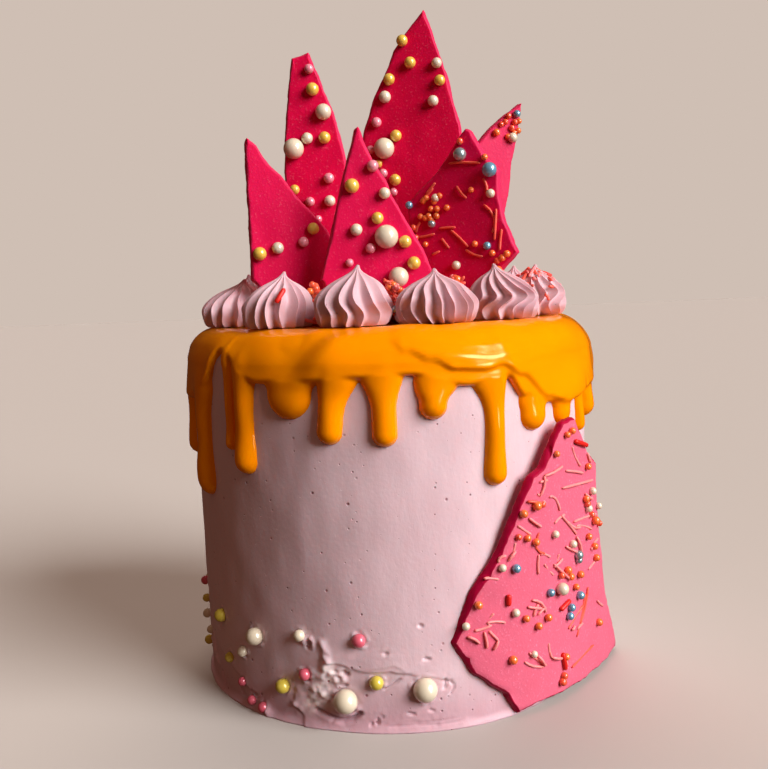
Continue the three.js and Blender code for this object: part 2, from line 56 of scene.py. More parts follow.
camera = bpy.data.objects.new("camera", bpy.data.cameras.new("camera"))
bpy.context.scene.collection.objects.link(camera)
bpy.context.scene.camera = camera
camera.data.lens = CAMERA_LENS
camera.data.sensor_width = 36.0
camera.data.clip_start = 0.01
camera.matrix_world = Matrix.Translation(CAMERA_PLACE)
for axis, degrees in CAMERA_TURNS:
    camera.matrix_world = camera.matrix_world @ Matrix.Rotation(math.radians(degrees), 4, axis)

# The buttercream cake
# A layer cake coated in mauve buttercream: whipped butter and icing sugar, spread and scraped round
# with a metal scraper. The scraper left pinholes in it, and the foot was dragged, torn and dented.
MM = 0.001
CAKE_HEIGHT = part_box("glaze")[1][2] / MM  # to the top of the glaze
CREAM_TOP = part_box("cake_body")[1][2] / MM
BASE_RADIUS = 79.0
WALL_FLARE = 1.2
CREAM_FILLET = 10.0
FOOT_BAND = 44.0  # the rows of the mesh are closest up to here
DEGREE = math.pi / 180

# Strokes of the foot: a path of (azimuth, height), half its width, and how far it stands out
DRAGGED = [
    ([(-19.7, 31), (-18.9, 27.8), (-18.3, 25), (-19.2, 22)], 1.2, 1.2),
    ([(-22.6, 19.6), (-20.4, 18.6), (-18.6, 20.6)], 1.7, 0.8),
    ([(-22.2, 14.8), (-20.6, 13), (-19.8, 12.4)], 1.6, 0.9),
    ([(-16.5, 18), (-14.4, 18.6)], 1.0, 0.7),
    ([(-25.3, 33), (-24.9, 31.6)], 1.4, 1.5),
    ([(-23, 32.4), (-22.2, 31), (-22.6, 29)], 0.6, 0.9),
    ([(-39, 1.5), (-38, 1.5)], 2.0, 1.4),
    ([(-28.4, 7), (-27.4, 5)], 1.6, 0.6),
    ([(-72, 15), (-68, 12), (-64, 9)], 1.1, 0.9),
    ([(-4.6, 18.8), (-3.9, 17.2)], 1.0, 0.7),
]
# Cuts and pits: the same, and how deep they go
TORN = [
    ([(-22, 6.2), (-19.5, 4.9), (-17.5, 3.8), (-15, 3.3), (-12.5, 4.4), (-10.7, 6.3)], 0.8, 2.0),
    ([(-23.7, 30.5), (-23.5, 29.2)], 0.9, 1.5),
    ([(-14.2, 20.9), (-13.6, 20.6)], 0.8, 1.5),
    ([(-16.8, 21.6), (-16.3, 21.3)], 0.5, 0.8),
    ([(-15.9, 19.2), (-15.5, 18.9)], 0.6, 0.9),
    ([(-15.4, 16.4), (-13.8, 16.6)], 0.5, 0.9),
    ([(6.1, 26), (7.2, 25.8)], 0.5, 1.0),
    ([(-3.6, 28.5), (-3.3, 28.4)], 0.6, 0.7),
    ([(5.3, 38), (5.6, 37.6)], 0.55, 1.0),
    ([(1.9, 6.6), (2.9, 6.3)], 0.5, 0.9),
    ([(-4.9, 5.6), (-5, 5.1)], 0.5, 0.7),
    ([(-6, 4.5), (-6.2, 3.1)], 0.55, 1.1),
    ([(-7.5, 3.1), (-7.8, 2.5)], 0.5, 0.8),
    ([(-18, 2.8), (-18.3, 2.5)], 0.5, 0.6),
    ([(7.1, 7.4), (7.9, 7)], 0.5, 0.6),
    ([(-4.1, 15.6), (-2.2, 17.2), (-0.3, 19.1)], 0.4, 0.9),
    ([(11.1, 17.9), (11.5, 16.5), (10.9, 14.9)], 0.5, 1.1),
    ([(12.2, 17.2), (13.2, 15.8), (13.3, 14.2), (12.2, 12.4)], 0.38, 0.8),
    ([(-3, 2.1), (3, 2.5), (9, 1.9), (15, 2.3)], 0.35, 0.3),
    ([(1, 3.5), (8, 3.1), (14, 3.4)], 0.3, 0.2),
    ([(-70, 20), (-68.5, 17), (-67.4, 14.2)], 0.8, 1.6),
    ([(-72.5, 13), (-70, 10)], 0.9, 1.4),
    ([(-61, 6.6), (-60, 3), (-59.4, 1.4)], 0.8, 1.4),
    ([(-60.6, 28), (-60, 27.4)], 0.7, 1.1),
    ([(-61.6, 25.6), (-61, 24.8)], 0.7, 1.1),
    ([(-49.4, 5.1), (-48.3, 4)], 0.6, 1.1),
    ([(-44.4, 6.7), (-43, 6.3), (-42.1, 5.1)], 0.45, 1.0),
]
# Smeared sheets of cream that end in an edge: the edge's (azimuth, height), how far it stands out,
# and how far the sheet takes to run out on its own side, in millimetres
SHEETS = [
    (
        [(-18.6, 24), (-16.8, 24.5), (-14.6, 23.6), (-10.2, 21.7), (-7, 21.3), (-2.6, 21.8),
         (2.4, 20.7), (8.2, 18.8), (11.3, 17.6)],
        0.5, 7,
    ),
    ([(-8, 22.4), (-4.1, 23.4), (-1.6, 24.1), (-0.1, 22.8), (1.6, 21.4)], 0.22, 3),
    ([(-64, 17.5), (-56, 14), (-50, 10.6), (-45, 7)], 0.4, 6),
]
# The torn layer's upright edge, as (height, azimuth). The layer is on its right.
LAYER_EDGE = [
    (0.5, -26), (3, -26), (4.4, -27), (6, -28.4), (9, -29.2), (13, -28), (16.5, -24.8),
    (19.6, -22.8), (22.3, -20.4), (27, -19.6), (31, -19.8),
]
LAYER_RISE = 0.6
# Patches where the cream was torn and smeared: azimuth and height of the middle, and how wide (in
# degrees) and high they are. The smeared cream is paler.
TORN_PATCHES = [(-17.6, 20.5, 3.4, 4.4), (-20.8, 14, 3.0, 3.6), (-16.5, 9, 2.5, 2.2), (-23, 9, 3.5, 4)]
FOOT_FLARE = 1.4  # the cream spreads this far outwards at its very foot
NO_FLARE = (46, 16)  # azimuth and half reach of the stretch behind the side shard, which has none
# Strokes on the side that faces away: how many, seed, half width and height or depth
HIDDEN_DRAGS = (13, 3, 1.6, 0.6)
HIDDEN_TEARS = (17, 8, 0.6, 0.7)

# Pearls pressed into the foot: azimuth, height, diameter, kind, and how proud they stand as a share
# of the diameter
PEARL_PROUD = 0.12
FOOT_PEARLS = [
    (-79, 36.5, 3.6, "pink", 0.25), (-79, 29, 3.4, "lemon", 0.25), (-79, 22.5, 3.8, "cream", 0.25),
    (-72, 19, 3.4, "cream"), (-58, 31, 5.2, "lemon"), (-77.5, 12, 3.8, "lemon", 0.25),
    (-41, 29, 6.5, "cream"), (-26, 33, 4.2, "cream"), (-10, 33, 4.8, "pink"),
    (-47, 21, 4, "cream"), (-54, 16, 4, "lemon"), (-25, 19, 4.4, "pink"), (-32, 13, 5.3, "lemon"),
    (-14, 11, 8.6, "cream"), (-6, 18, 5, "lemon"), (6, 15, 8.6, "cream"), (-48, 9, 3.4, "pink"),
    (-44, 3.5, 3.6, "pink"), (-39.5, 2.5, 4, "pink"),
]
HIDDEN_PEARLS = 8


def source_numbers(seed, count):
    """Numbers from 0 to 1 by the linear congruence that placed the hidden pieces in model.glb."""
    state = seed
    numbers = []
    for _ in range(count):
        state = (state * 1664525 + 1013904223) % 2**32
        numbers.append(state / 2**32)
    return numbers


def hidden_foot_pearls():
    """The trail of pearls on the side that faces away, thinner as it goes round."""
    draws = np.reshape(source_numbers(7, 3 * HIDDEN_PEARLS), (-1, 3))
    kinds = ("cream", "lemon", "pink")
    return [
        (-90 - i / HIDDEN_PEARLS * 130 - 5 * a, 6 + 30 * b**1.4, 3.4 + 3.4 * c**2, kinds[i % 3])
        for i, (a, b, c) in enumerate(draws)
    ]


foot_pearls = FOOT_PEARLS + hidden_foot_pearls()


def around(azimuth, radius, height):
    """The point at an azimuth a, a radius r and a height h: (r sin a, -r cos a, h)."""
    turn = np.radians(azimuth)
    parts = np.broadcast_arrays(radius * np.sin(turn), -radius * np.cos(turn), height)
    return np.stack(parts, axis=-1)


def waves(points, length, seed):
    """Smooth uneven relief of about -2 to 2: the sum of 24 cosine waves of one length that run
    through space in random directions."""
    random = np.random.default_rng(seed)
    directions = random.normal(size=(24, 3))
    directions /= np.linalg.norm(directions, axis=1)[:, None]
    phases = random.uniform(0, 2 * math.pi, 24)
    return np.cos(points @ directions.T * (2 * math.pi / length) + phases).sum(axis=-1) / 12**0.5


def stroke_distance(azimuth, height, path):
    """Distance over the unrolled wall to a path of straight stretches."""
    across = np.radians(azimuth) * BASE_RADIUS
    corners = np.asarray(path, float) * (DEGREE * BASE_RADIUS, 1)
    nearest = np.full(np.shape(across), np.inf)
    for (x0, z0), (x1, z1) in zip(corners[:-1], corners[1:]):
        dx, dz = x1 - x0, z1 - z0
        share = np.clip(((across - x0) * dx + (height - z0) * dz) / (dx * dx + dz * dz), 0, 1)
        nearest = np.minimum(nearest, np.hypot(across - x0 - share * dx, height - z0 - share * dz))
    return nearest


def hidden_strokes(count, seed, wide, deep):
    """Short drags and tears like the front's, at random places on the side that faces away."""
    random = np.random.default_rng(seed)
    strokes = []
    for azimuth in np.linspace(72, 270, count):
        steps = random.normal(size=(3, 2)) * (3.5, 2.6)
        path = np.array([azimuth, random.uniform(3, 27)]) + np.cumsum(steps, axis=0)
        size = random.uniform(0.7, 1.2)
        strokes.append((path, wide * size, deep * size))
    return strokes


def cream_radius(height):
    """Radius of the plain wall: a cone that widens upwards by the flare."""
    return BASE_RADIUS + WALL_FLARE * np.minimum(height / CREAM_TOP, 1)


def rising(value, start, end):
    """0 up to the start, 1 from the end on, and a smooth step between."""
    share = np.clip((value - start) / (end - start), 0, 1)
    return share * share * (3 - 2 * share)


def torn_share(azimuth, height):
    """1 in the middle of the torn patches, and a bell-shaped fall round each."""
    share = 0 * height
    for middle_azimuth, middle_height, wide, high in TORN_PATCHES:
        share = share + np.exp(
            -(((azimuth - middle_azimuth) / wide) ** 2) - ((height - middle_height) / high) ** 2
        )
    return share


def scraper_relief(azimuth, height, wall):
    """The scraper's slow waves, which run out towards the top, and two finer ones over them."""
    turn = np.radians(azimuth)
    slow = 0.3 * np.sin(2 * turn + 0.6) + 0.2 * np.sin(5 * turn + height / 30)
    fine = 0.09 * waves(wall, 24, 1) + 0.05 * waves(wall * (1, 1, 0.5), 9, 2)
    return slow * np.minimum(1, (CREAM_TOP - height) / (CREAM_TOP / 2)) + fine


def smeared_relief(azimuth, height, wall, ragged):
    """Sheets with a sharp ragged edge that run out on one side, the torn layer, which runs out to
    the right, and ridges dragged aslant over the torn patches."""
    relief = 0 * height
    for line, rise, run in SHEETS:
        at, level = np.array(line, float).T
        over = height - np.interp(azimuth, at, level) + 0.12 * ragged
        ends = rising(azimuth, at[0] - 2.5, at[0] + 1.5) * (1 - rising(azimuth, at[-1] - 2, at[-1] + 5))
        relief += rise * ends * rising(over, -0.25, 0.3) * np.exp(-np.maximum(over, 0) / run)
    level, at = np.array(LAYER_EDGE, float).T
    past = (azimuth - np.interp(height, level, at)) * DEGREE * BASE_RADIUS + 0.5 * ragged
    ends = (1 - rising(height, 26, 31)) * (np.abs(azimuth) < 90)
    relief += LAYER_RISE * ends * rising(past, -1.0, 1.4) * np.exp(-np.maximum(past, 0) / 12)
    across = azimuth * DEGREE * BASE_RADIUS
    aslant = [(across + 0.7 * height) / 3.4, (height - 0.7 * across) / 1.3, 0 * height]
    dragged = waves(np.stack(aslant, axis=-1), 2.0, 5)
    return relief + torn_share(azimuth, height) * (0.3 + 0.2 * dragged + 0.07 * waves(wall, 1.6, 6))


def stroke_relief(azimuth, height, wall, ragged):
    """Strokes as bell-shaped ridges, and cuts with a faint rim, with small crumbs beside them."""
    relief = 0 * height
    beside = np.full(np.shape(height), np.inf)
    for path, half_width, rise in DRAGGED + hidden_strokes(*HIDDEN_DRAGS):
        distance = stroke_distance(azimuth, height, path)
        relief += rise * (0.85 + 0.2 * ragged) * np.exp(-((distance / half_width) ** 2))
        beside = np.minimum(beside, distance)
    for path, half_width, depth in TORN + hidden_strokes(*HIDDEN_TEARS):
        distance = stroke_distance(azimuth, height, path)
        rim = 0.08 * np.exp(-(((distance - 1.7 * half_width) / (0.8 * half_width)) ** 2))
        relief += depth * (rim - np.exp(-((distance / half_width) ** 2)))
        beside = np.minimum(beside, distance)
    low = 1 - rising(height, 34, 44)
    return relief + 0.05 * waves(wall, 2.2, 7) * np.exp(-((beside / 2.5) ** 2)) * low


def pearl_dents(azimuth, height, ragged):
    """A dent with a raised ragged rim round each pearl in the foot."""
    relief = 0 * height
    for pearl_azimuth, pearl_height, diameter, *_ in foot_pearls:
        apart = (azimuth - pearl_azimuth + 180) % 360 - 180
        distance = np.hypot(apart * DEGREE * BASE_RADIUS, height - pearl_height)
        rim = 0.3 * np.exp(-(((distance - 0.6 * diameter) / 0.6) ** 2)) * (0.8 + 0.5 * ragged)
        relief += rim - 0.6 * np.exp(-((distance / (0.52 * diameter)) ** 2))
    return relief


def foot_flare(azimuth, height, wall):
    """The cream's spread at the very foot, a parabola of uneven height, with none at the side shard."""
    reach = 3.2 + 0.5 * waves(wall * (1, 1, 0), 16, 8)
    middle, half = NO_FLARE
    clear = 1 - np.exp(-(((azimuth - middle) / half) ** 4))
    return FOOT_FLARE * clear * np.maximum(1 - height / reach, 0) ** 2


def cream_relief(azimuth, height):
    """How far the wall stands out of its cone."""
    wall = around(azimuth, BASE_RADIUS, height)
    ragged = waves(wall, 3.2, 4)
    relief = scraper_relief(azimuth, height, wall) + smeared_relief(azimuth, height, wall, ragged)
    relief += stroke_relief(azimuth, height, wall, ragged) + pearl_dents(azimuth, height, ragged)
    return relief + foot_flare(azimuth, height, wall)


def ring_faces(counts):
    """Faces of closed rings of points, one over the other, and a fan at each end. A ring has as many
    points as the next, or twice or half as many. The points of the two ends follow the rings'."""
    starts = np.concatenate([[0], np.cumsum(counts)])
    quads, triangles = [], []
    for low, high, below, above in zip(starts, starts[1:], counts, counts[1:]):
        step = np.arange(min(below, above))
        after = (step + 1) % len(step)
        if below == above:
            quads.append(np.stack([low + step, low + after, high + after, high + step], axis=-1))
            continue
        fine, coarse = (low, high) if below > above else (high, low)
        middle, turn = fine + 2 * step + 1, 1 if below > above else -1
        for corners in (
            (fine + 2 * step, middle, coarse + step),
            (middle, fine + 2 * after, coarse + after),
            (middle, coarse + after, coarse + step),
        ):
            triangles.append(np.stack(corners[::turn], axis=-1))
    bottom = (0, counts[0], starts[-1], 1)
    top = (starts[-2], counts[-1], starts[-1] + 1, -1)
    for start, count, end, turn in (bottom, top):
        spoke = np.arange(count)
        fan = [np.full(count, end), start + (spoke + 1) % count, start + spoke]
        triangles.append(np.stack(fan[:1] + fan[1:][::turn], axis=-1))
    return [np.concatenate(quads), np.concatenate(triangles)]


def make_piece(name, points, faces, finish, slot):
    """A smooth mesh that rides on the cake, from points in millimetres and blocks of faces."""
    mesh = bpy.data.meshes.new(name)
    points = np.asarray(points, float).reshape(-1, 3) * MM
    corners = np.concatenate([block.ravel() for block in faces]).astype(np.int32)
    sizes = np.concatenate([np.full(len(block), block.shape[1]) for block in faces])
    mesh.vertices.add(len(points))
    mesh.vertices.foreach_set("co", points.ravel())
    mesh.loops.add(len(corners))
    mesh.loops.foreach_set("vertex_index", corners)
    mesh.polygons.add(len(sizes))
    mesh.polygons.foreach_set("loop_start", (np.cumsum(sizes) - sizes).astype(np.int32))
    mesh.update(calc_edges=True)
    mesh.polygons.foreach_set("use_smooth", np.ones(len(sizes), bool))
    mesh.materials.append(finish)
    piece = bpy.data.objects.new(name, mesh)
    bpy.context.scene.collection.objects.link(piece)
    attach(piece, "root")
    return piece


def keep_on_points(piece, name, values):
    """Keeps a number from 0 to 1 on each point of a piece, for its material to read."""
    stored = piece.data.attributes.new(name, "FLOAT", "POINT")
    stored.data.foreach_set("value", values.astype(np.float32))


def linear(colour):
    """An sRGB hex colour as linear red, green, blue and an alpha of 1."""
    parts = [int(colour[i : i + 2], 16) / 255 for i in (1, 3, 5)]
    return [*(v / 12.92 if v <= 0.04045 else ((v + 0.055) / 1.055) ** 2.4 for v in parts), 1.0]


def new_finish(name, colour, sockets):
    """A material, and its shader with the base colour and the sockets' values set."""
    finish = bpy.data.materials.new(name)
    finish.use_nodes = True
    shader = finish.node_tree.nodes["Principled BSDF"]
    shader.inputs["Base Color"].default_value = linear(colour)
    for socket, value in sockets.items():
        shader.inputs[socket].default_value = value
    return finish, shader


def add_node(finish, kind, inputs, **settings):
    """Adds a node with its own settings. An input is a value, or another node's output to link."""
    made = finish.node_tree.nodes.new(kind)
    for name, value in settings.items():
        setattr(made, name, value)
    for name, value in inputs.items():
        if isinstance(value, bpy.types.NodeSocket):
            finish.node_tree.links.new(value, made.inputs[name])
        else:
            made.inputs[name].default_value = value
    return made


def buttercream(name, colour, shade, depth, pinholes):
    """Whipped butter and icing sugar: dense and fatty, so light goes a millimetre or two into it and
    comes out warmer, with a faint satin shine, cloudy streaks, burst air bubbles with painted shade
    inside them, and a deeper mauve towards the foot."""
    finish, shader = new_finish(name, colour, {
        "Roughness": 0.5,
        "IOR": 1.45,
        "Specular IOR Level": 0.5,
        "Subsurface Weight": 0.3,
        "Subsurface Radius": (1.0, 0.35, 0.3),
        "Subsurface Scale": depth,
    })
    place = add_node(finish, "ShaderNodeTexCoord", {}).outputs["Object"]
    upright_place = add_node(finish, "ShaderNodeMapping", {"Vector": place, "Scale": (1.0, 1.0, 0.35)})
    streaks = add_node(finish, "ShaderNodeTexNoise", {
        "Vector": upright_place.outputs["Vector"], "Scale": 1 / (14 * MM), "Detail": 5.0, "Roughness": 0.6,
    })
    cloudy = add_node(finish, "ShaderNodeMix", {
        "Factor": streaks.outputs["Fac"], "A": linear(colour), "B": linear(shade),
    }, data_type="RGBA")
    height = add_node(finish, "ShaderNodeSeparateXYZ", {"Vector": place}).outputs["Z"]
    above_foot = add_node(finish, "ShaderNodeMapRange", {
        "Value": height, "From Min": 3 * MM, "From Max": 20 * MM, "To Min": 0.35, "To Max": 1.0,
    })
    tint = add_node(finish, "ShaderNodeMix", {
        "Factor": above_foot.outputs["Result"], "A": linear("#c594a2"), "B": cloudy.outputs["Result"],
    }, data_type="RGBA")
    smeared = add_node(finish, "ShaderNodeAttribute", {}, attribute_name="smeared")
    tint = add_node(finish, "ShaderNodeMix", {
        "Factor": smeared.outputs["Fac"], "A": tint.outputs["Result"], "B": linear("#f6e6e4"),
    }, data_type="RGBA")
    # Air bubbles 3 mm apart. Half of them are open, and where the surface cuts one there is a hole of
    # up to 1.4 mm, painted a darker mauve inside as painted shade.
    bubbles = add_node(finish, "ShaderNodeTexVoronoi", {"Vector": place, "Scale": 1 / (3 * MM)})
    size = add_node(finish, "ShaderNodeMapRange", {
        "Value": bubbles.outputs["Color"], "From Min": 0.52, "From Max": 0.9, "To Min": 0.05,
        "To Max": 0.24 * pinholes,
    })
    hole = add_node(finish, "ShaderNodeMapRange", {
        "Value": bubbles.outputs["Distance"], "From Min": 0.04, "From Max": size.outputs["Result"],
    })
    holes_painted_shade = add_node(finish, "ShaderNodeMix", {
        "Factor": hole.outputs["Result"], "A": linear("#a06a76"), "B": tint.outputs["Result"],
    }, data_type="RGBA")
    grain = add_node(finish, "ShaderNodeTexNoise", {
        "Vector": place, "Scale": 1 / (1.4 * MM), "Detail": 3.0,
    })
    grainy = add_node(finish, "ShaderNodeMath", {
        0: grain.outputs["Fac"], 1: 0.2, 2: hole.outputs["Result"],
    }, operation="MULTIPLY_ADD")
    relief = add_node(finish, "ShaderNodeMath", {
        0: streaks.outputs["Fac"], 1: 1.2, 2: grainy.outputs[0],
    }, operation="MULTIPLY_ADD")
    bump = add_node(finish, "ShaderNodeBump", {
        "Height": relief.outputs[0], "Distance": 0.35 * MM, "Strength": 0.8,
    })
    finish.node_tree.links.new(holes_painted_shade.outputs["Result"], shader.inputs["Base Color"])
    finish.node_tree.links.new(bump.outputs["Normal"], shader.inputs["Normal"])
    return finish


COLUMNS = 392  # round the cake, and twice as many in the foot band, where the tears are
FOOT_ROWS = 98
WALL_ROWS = 38
FILLET_ROWS = 7
foot_heights = np.linspace(0, FOOT_BAND, FOOT_ROWS)
wall_heights = np.linspace(FOOT_BAND, CREAM_TOP - CREAM_FILLET, WALL_ROWS)[1:]
fine_turns = np.linspace(-180, 180, 2 * COLUMNS, endpoint=False)
cream_rings = [around(fine_turns[::2], radius, 0.0) for radius in (30, 60, 76)]
for heights, turns in ((foot_heights, fine_turns), (wall_heights, fine_turns[::2])):
    wall_azimuth, wall_height = np.meshgrid(turns, heights)
    wall_radius = cream_radius(wall_height) + cream_relief(wall_azimuth, wall_height)
    cream_rings += list(around(wall_azimuth, wall_radius, wall_height))
for angle in np.radians(np.linspace(0, 90, FILLET_ROWS)[1:]):
    radius = BASE_RADIUS + WALL_FLARE - CREAM_FILLET * (1 - math.cos(angle))
    level = CREAM_TOP - CREAM_FILLET * (1 - math.sin(angle))
    cream_rings.append(around(fine_turns[::2], radius, level))
cream_rings.append(around(fine_turns[::2], 35.0, CREAM_TOP))
cream_points = np.concatenate([*cream_rings, [[0, 0, 0], [0, 0, CREAM_TOP]]])
cream_faces = ring_faces([len(ring) for ring in cream_rings])
wall_cream = buttercream("scraped buttercream", "#e4ccd3", "#d8b9c2", 0.003, 1.0)
cake = make_piece("buttercream_cake", cream_points, cream_faces, wall_cream, "buttercream")
cream_azimuth = np.degrees(np.arctan2(cream_points[:, 0], -cream_points[:, 1]))
cream_smeared = torn_share(cream_azimuth, cream_points[:, 2])
cream_smeared *= 0.75 + 0.25 * waves(cream_points, 3.0, 11)
keep_on_points(cake, "smeared", np.clip(cream_smeared, 0, 0.9))
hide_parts("cake_body")

# The glaze
# White chocolate melted with cream and coloured orange, poured twice over the cold cake. It ran off
# the edge and set in fat drips, and the second pour stopped in a thick lip over the first.
GLAZE_COLUMNS = 720
GLAZE_ROWS = 88
EDGE_ROWS = 20
LOWEST_DRIP = 68.0
# How thick the glaze lies on the top, on the rounded shoulder, at its edge and on a drip
TOP_GLAZE = 3.0
SHOULDER_GLAZE = 1.2
EDGE_GLAZE = 3.4
DRIP_GLAZE = 4.2
THINNEST = 0.8
EDGE_ROUNDING = 2.4
NECK = 0.86  # a drip's neck, as a share of the width of its tip
BULB_REACH = 1.7  # how far the tip's bulb goes up, in half widths
FLARE_REACH = 6.0
POUR_FADE = 12.0  # how far a drip goes up into the pour
SOFTNESS = 0.14  # of the fillets between the pour and the drips
BURIED = 2.5  # the glaze's underside lies this deep in the buttercream
RIM_SPREAD = 0.2  # the less, the steeper the rim stands on the wall
RIM_CUT = 0.12  # the sheet runs on to here below the wall's surface, as a share of a drip's form
# How far below the top the glaze ends between the drips: (azimuth, drop)
GLAZE_EDGE = [
    (-72, 27), (-57, 21), (-49, 7), (-33.5, 18.5), (-18.5, 18), (-7.4, 17), (4.3, 16.3), (19, 21),
    (29.3, 18.7), (34.8, 26.5), (44, 30), (57, 31), (66, 29), (84, 23), (104, 20), (128, 24), (150, 17),
    (176, 22), (198, 18), (222, 23), (246, 19), (268, 27),
]
# The second pour's lip: (azimuth, drop, how thick the lip stands)
SECOND_POUR = [
    (-30, 3, 0), (0, 5, 0.3), (4, 8.3, 0.9), (9.7, 11.8, 1.4), (15.6, 15.3, 1.8), (23, 16, 2.0),
    (27.5, 14.8, 1.8), (33.4, 18.9, 1.3), (42, 27.7, 1.2), (50, 31, 1.2), (70, 27, 1.0),
    (84, 20, 1.2), (110, 14, 1.0), (140, 10, 0.9), (180, 12, 1.2), (220, 9, 0.8), (260, 10, 0.5),
    (300, 6, 0.1),
]
# Drips that show: azimuth and drop of the tip, half width, how far the root lies to the right of
# the tip, and how wide the root flares to its left and right
DRIPS = [
    (-86, 52, 4.6, 0, 2, 2), (-61, 62.5, 6.2, 1, 4, 3), (-45.5, 43, 2.8, 0, 1.5, 0),
    (-40, 51, 5, 0.5, 1, 2.5), (-25.5, 30.5, 8.9, 0.5, 2, 1.5), (-15, 39, 4.7, 1.5, 1.2, 5),
    (-1.5, 40, 4.6, 0, 4, 3), (10.4, 31.5, 5, 1, 3, 4.5), (26.2, 56.2, 4.6, 0.5, 6, 1),
    (38.6, 39, 6.1, 0, 1, 1.5), (51, 39, 5.6, 0, 2, 2), (63, 44, 2.8, 0, 2, 1),
    (72, 40, 5, 0, 2, 3),
]
# The left edge of a lobe of the pour, as (drop, azimuth), how far it stands out there, and the
# hollow left of it, as its path of (azimuth, drop), half its width and its depth
LOBE_EDGE = [(0, -10), (3.5, -13.3), (9.6, -16.6), (14, -18.6), (18.5, -20.2), (26, -21)]
LOBE_RISE = 2.3
HOLLOW = ([(-24, 3), (-25, 12)], 5, 0.5)
# Ripples along the shoulder: how high, how far apart, and how far round they reach from the middle
SHOULDER_RIPPLES = (0.11, 4.2, 22.0, 26.0)


def hidden_drips():
    """Nine drips at uneven steps round the side that faces away."""
    count = 9
    draws = np.reshape(source_numbers(21, 3 * count), (-1, 3))
    return [
        (88 + 176 * (i + 0.5 * a) / (count - 0.5), 32 + 26 * b, 4.2 + 1.6 * c, 0, 3, 3)
        for i, (a, b, c) in enumerate(draws)
    ]


def eased(pairs, azimuth):
    """A smooth curve through (azimuth, value) pairs that close on themselves: half a cosine wave
    from each pair to the next."""
    at, value = np.array([*pairs, (pairs[0][0] + 360, pairs[0][1])], float).T
    turned = (azimuth - at[0]) % 360 + at[0]
    step = np.clip(np.searchsorted(at, turned, side="right") - 1, 0, len(pairs) - 1)
    share = (turned - at[step]) / (at[step + 1] - at[step])
    return value[step] + (value[step + 1] - value[step]) * (1 - np.cos(math.pi * share)) / 2


def drip_form(azimuth, drop, spec):
    """A drip's form is 1 on its axis and falls to 0 at its rim as a parabola. Below the tip's centre
    it falls as a round, and above the glaze's edge it fades into the pour. Also its thickness."""
    tip_azimuth, tip_drop, half_width, lean, flare_left, flare_right = spec
    edge = eased(GLAZE_EDGE, tip_azimuth)
    centre = tip_drop - half_width
    above_tip = np.maximum(centre - drop, 0)
    apart = ((azimuth - tip_azimuth + 180) % 360 - 180) * DEGREE * (BASE_RADIUS + WALL_FLARE)
    apart = apart - lean * np.clip(above_tip / max(centre - edge, 1), 0, 1.5)
    bulb = np.exp(-((above_tip / (BULB_REACH * half_width)) ** 2))
    flare = np.exp(-((np.maximum(drop - edge, 0) / FLARE_REACH) ** 1.5)) * rising(above_tip, 0, 5)
    spread = np.where(apart < 0, flare_left, flare_right) * flare
    width = half_width * (NECK + (1 - NECK) * bulb) + spread
    below_tip = np.maximum(drop - centre, 0) / half_width
    into_pour = np.maximum(edge - drop, 0) / POUR_FADE
    form = 1 - (apart / width) ** 2 - below_tip**2 - into_pour**2
    thicker = 0.2 * bulb * rising(drop, edge, edge + 10)
    return form, min(DRIP_GLAZE, 0.92 * half_width) * (0.8 + thicker)


def pour_relief(azimuth, drop):
    """How far the pours stand out of an even sheet: the second one's lip, the lobe and the hollow
    beside it, ripples along the shoulder and a slow wave all over."""
    lip_drop = eased([row[:2] for row in SECOND_POUR], azimuth)
    lip_rise = eased([(row[0], row[2]) for row in SECOND_POUR], azimuth)
    over_lip = lip_drop - drop
    lip = rising(over_lip, -0.3, 1.7) * np.exp(-((np.maximum(over_lip - 2.4, 0) / 9) ** 2))
    level, at = np.array(LOBE_EDGE, float).T
    past = (azimuth - np.interp(drop, level, at)) * DEGREE * BASE_RADIUS
    lobe = rising(past, -8, 2.5) * np.exp(-((np.maximum(past - 2, 0) / 12) ** 2))
    lobe *= (1 - rising(drop, 10, 24)) * rising(drop, -1, 5)
    path, half_width, depth = HOLLOW
    hollow = np.exp(-((stroke_distance(azimuth, drop, path) / half_width) ** 2))
    rise, apart, middle, reach = SHOULDER_RIPPLES
    ripple = np.sin(2 * math.pi * (drop + 1.2 * waves(around(azimuth, BASE_RADIUS, 0), 40, 13)) / apart)
    ripple *= np.exp(-(((azimuth - middle) / reach) ** 2)) * (1 - rising(drop, 12, 20))
    slow = 0.14 * waves(around(azimuth, BASE_RADIUS, -drop), 17, 9)
    return lip_rise * lip + LOBE_RISE * lobe - depth * hollow + rise * ripple + slow


def glaze_sheet(azimuth, drop):
    """The glaze on the wall: its form, a smooth maximum of the pour's and the drips' that is over 0
    where there is glaze, and its thickness, which rises steeply from the rim as the form f over the
    root of f plus the rim's spread, and goes on below 0 just outside the rim."""
    edge = eased(GLAZE_EDGE, azimuth)
    inside = np.minimum((edge - drop) / EDGE_ROUNDING, 1)
    forms = [1 - (1 - inside) ** 2]
    depths = [SHOULDER_GLAZE + (EDGE_GLAZE - SHOULDER_GLAZE) * rising(drop, 3, edge + 4)]
    for spec in DRIPS + hidden_drips():
        form, depth = drip_form(azimuth, drop, spec)
        forms.append(form)
        depths.append(depth)
    shares = np.exp(np.clip(np.array(forms), -6, 1) / SOFTNESS)
    form = SOFTNESS * np.log(shares.sum(axis=0))
    depth = (shares * np.array(depths)).sum(axis=0) / shares.sum(axis=0)
    depth = np.maximum(depth + pour_relief(azimuth, drop), THINNEST)
    steep = form * math.sqrt(1 + RIM_SPREAD) / np.sqrt(np.maximum(form, -RIM_CUT) + RIM_SPREAD)
    return form, depth * np.minimum(steep, 1)


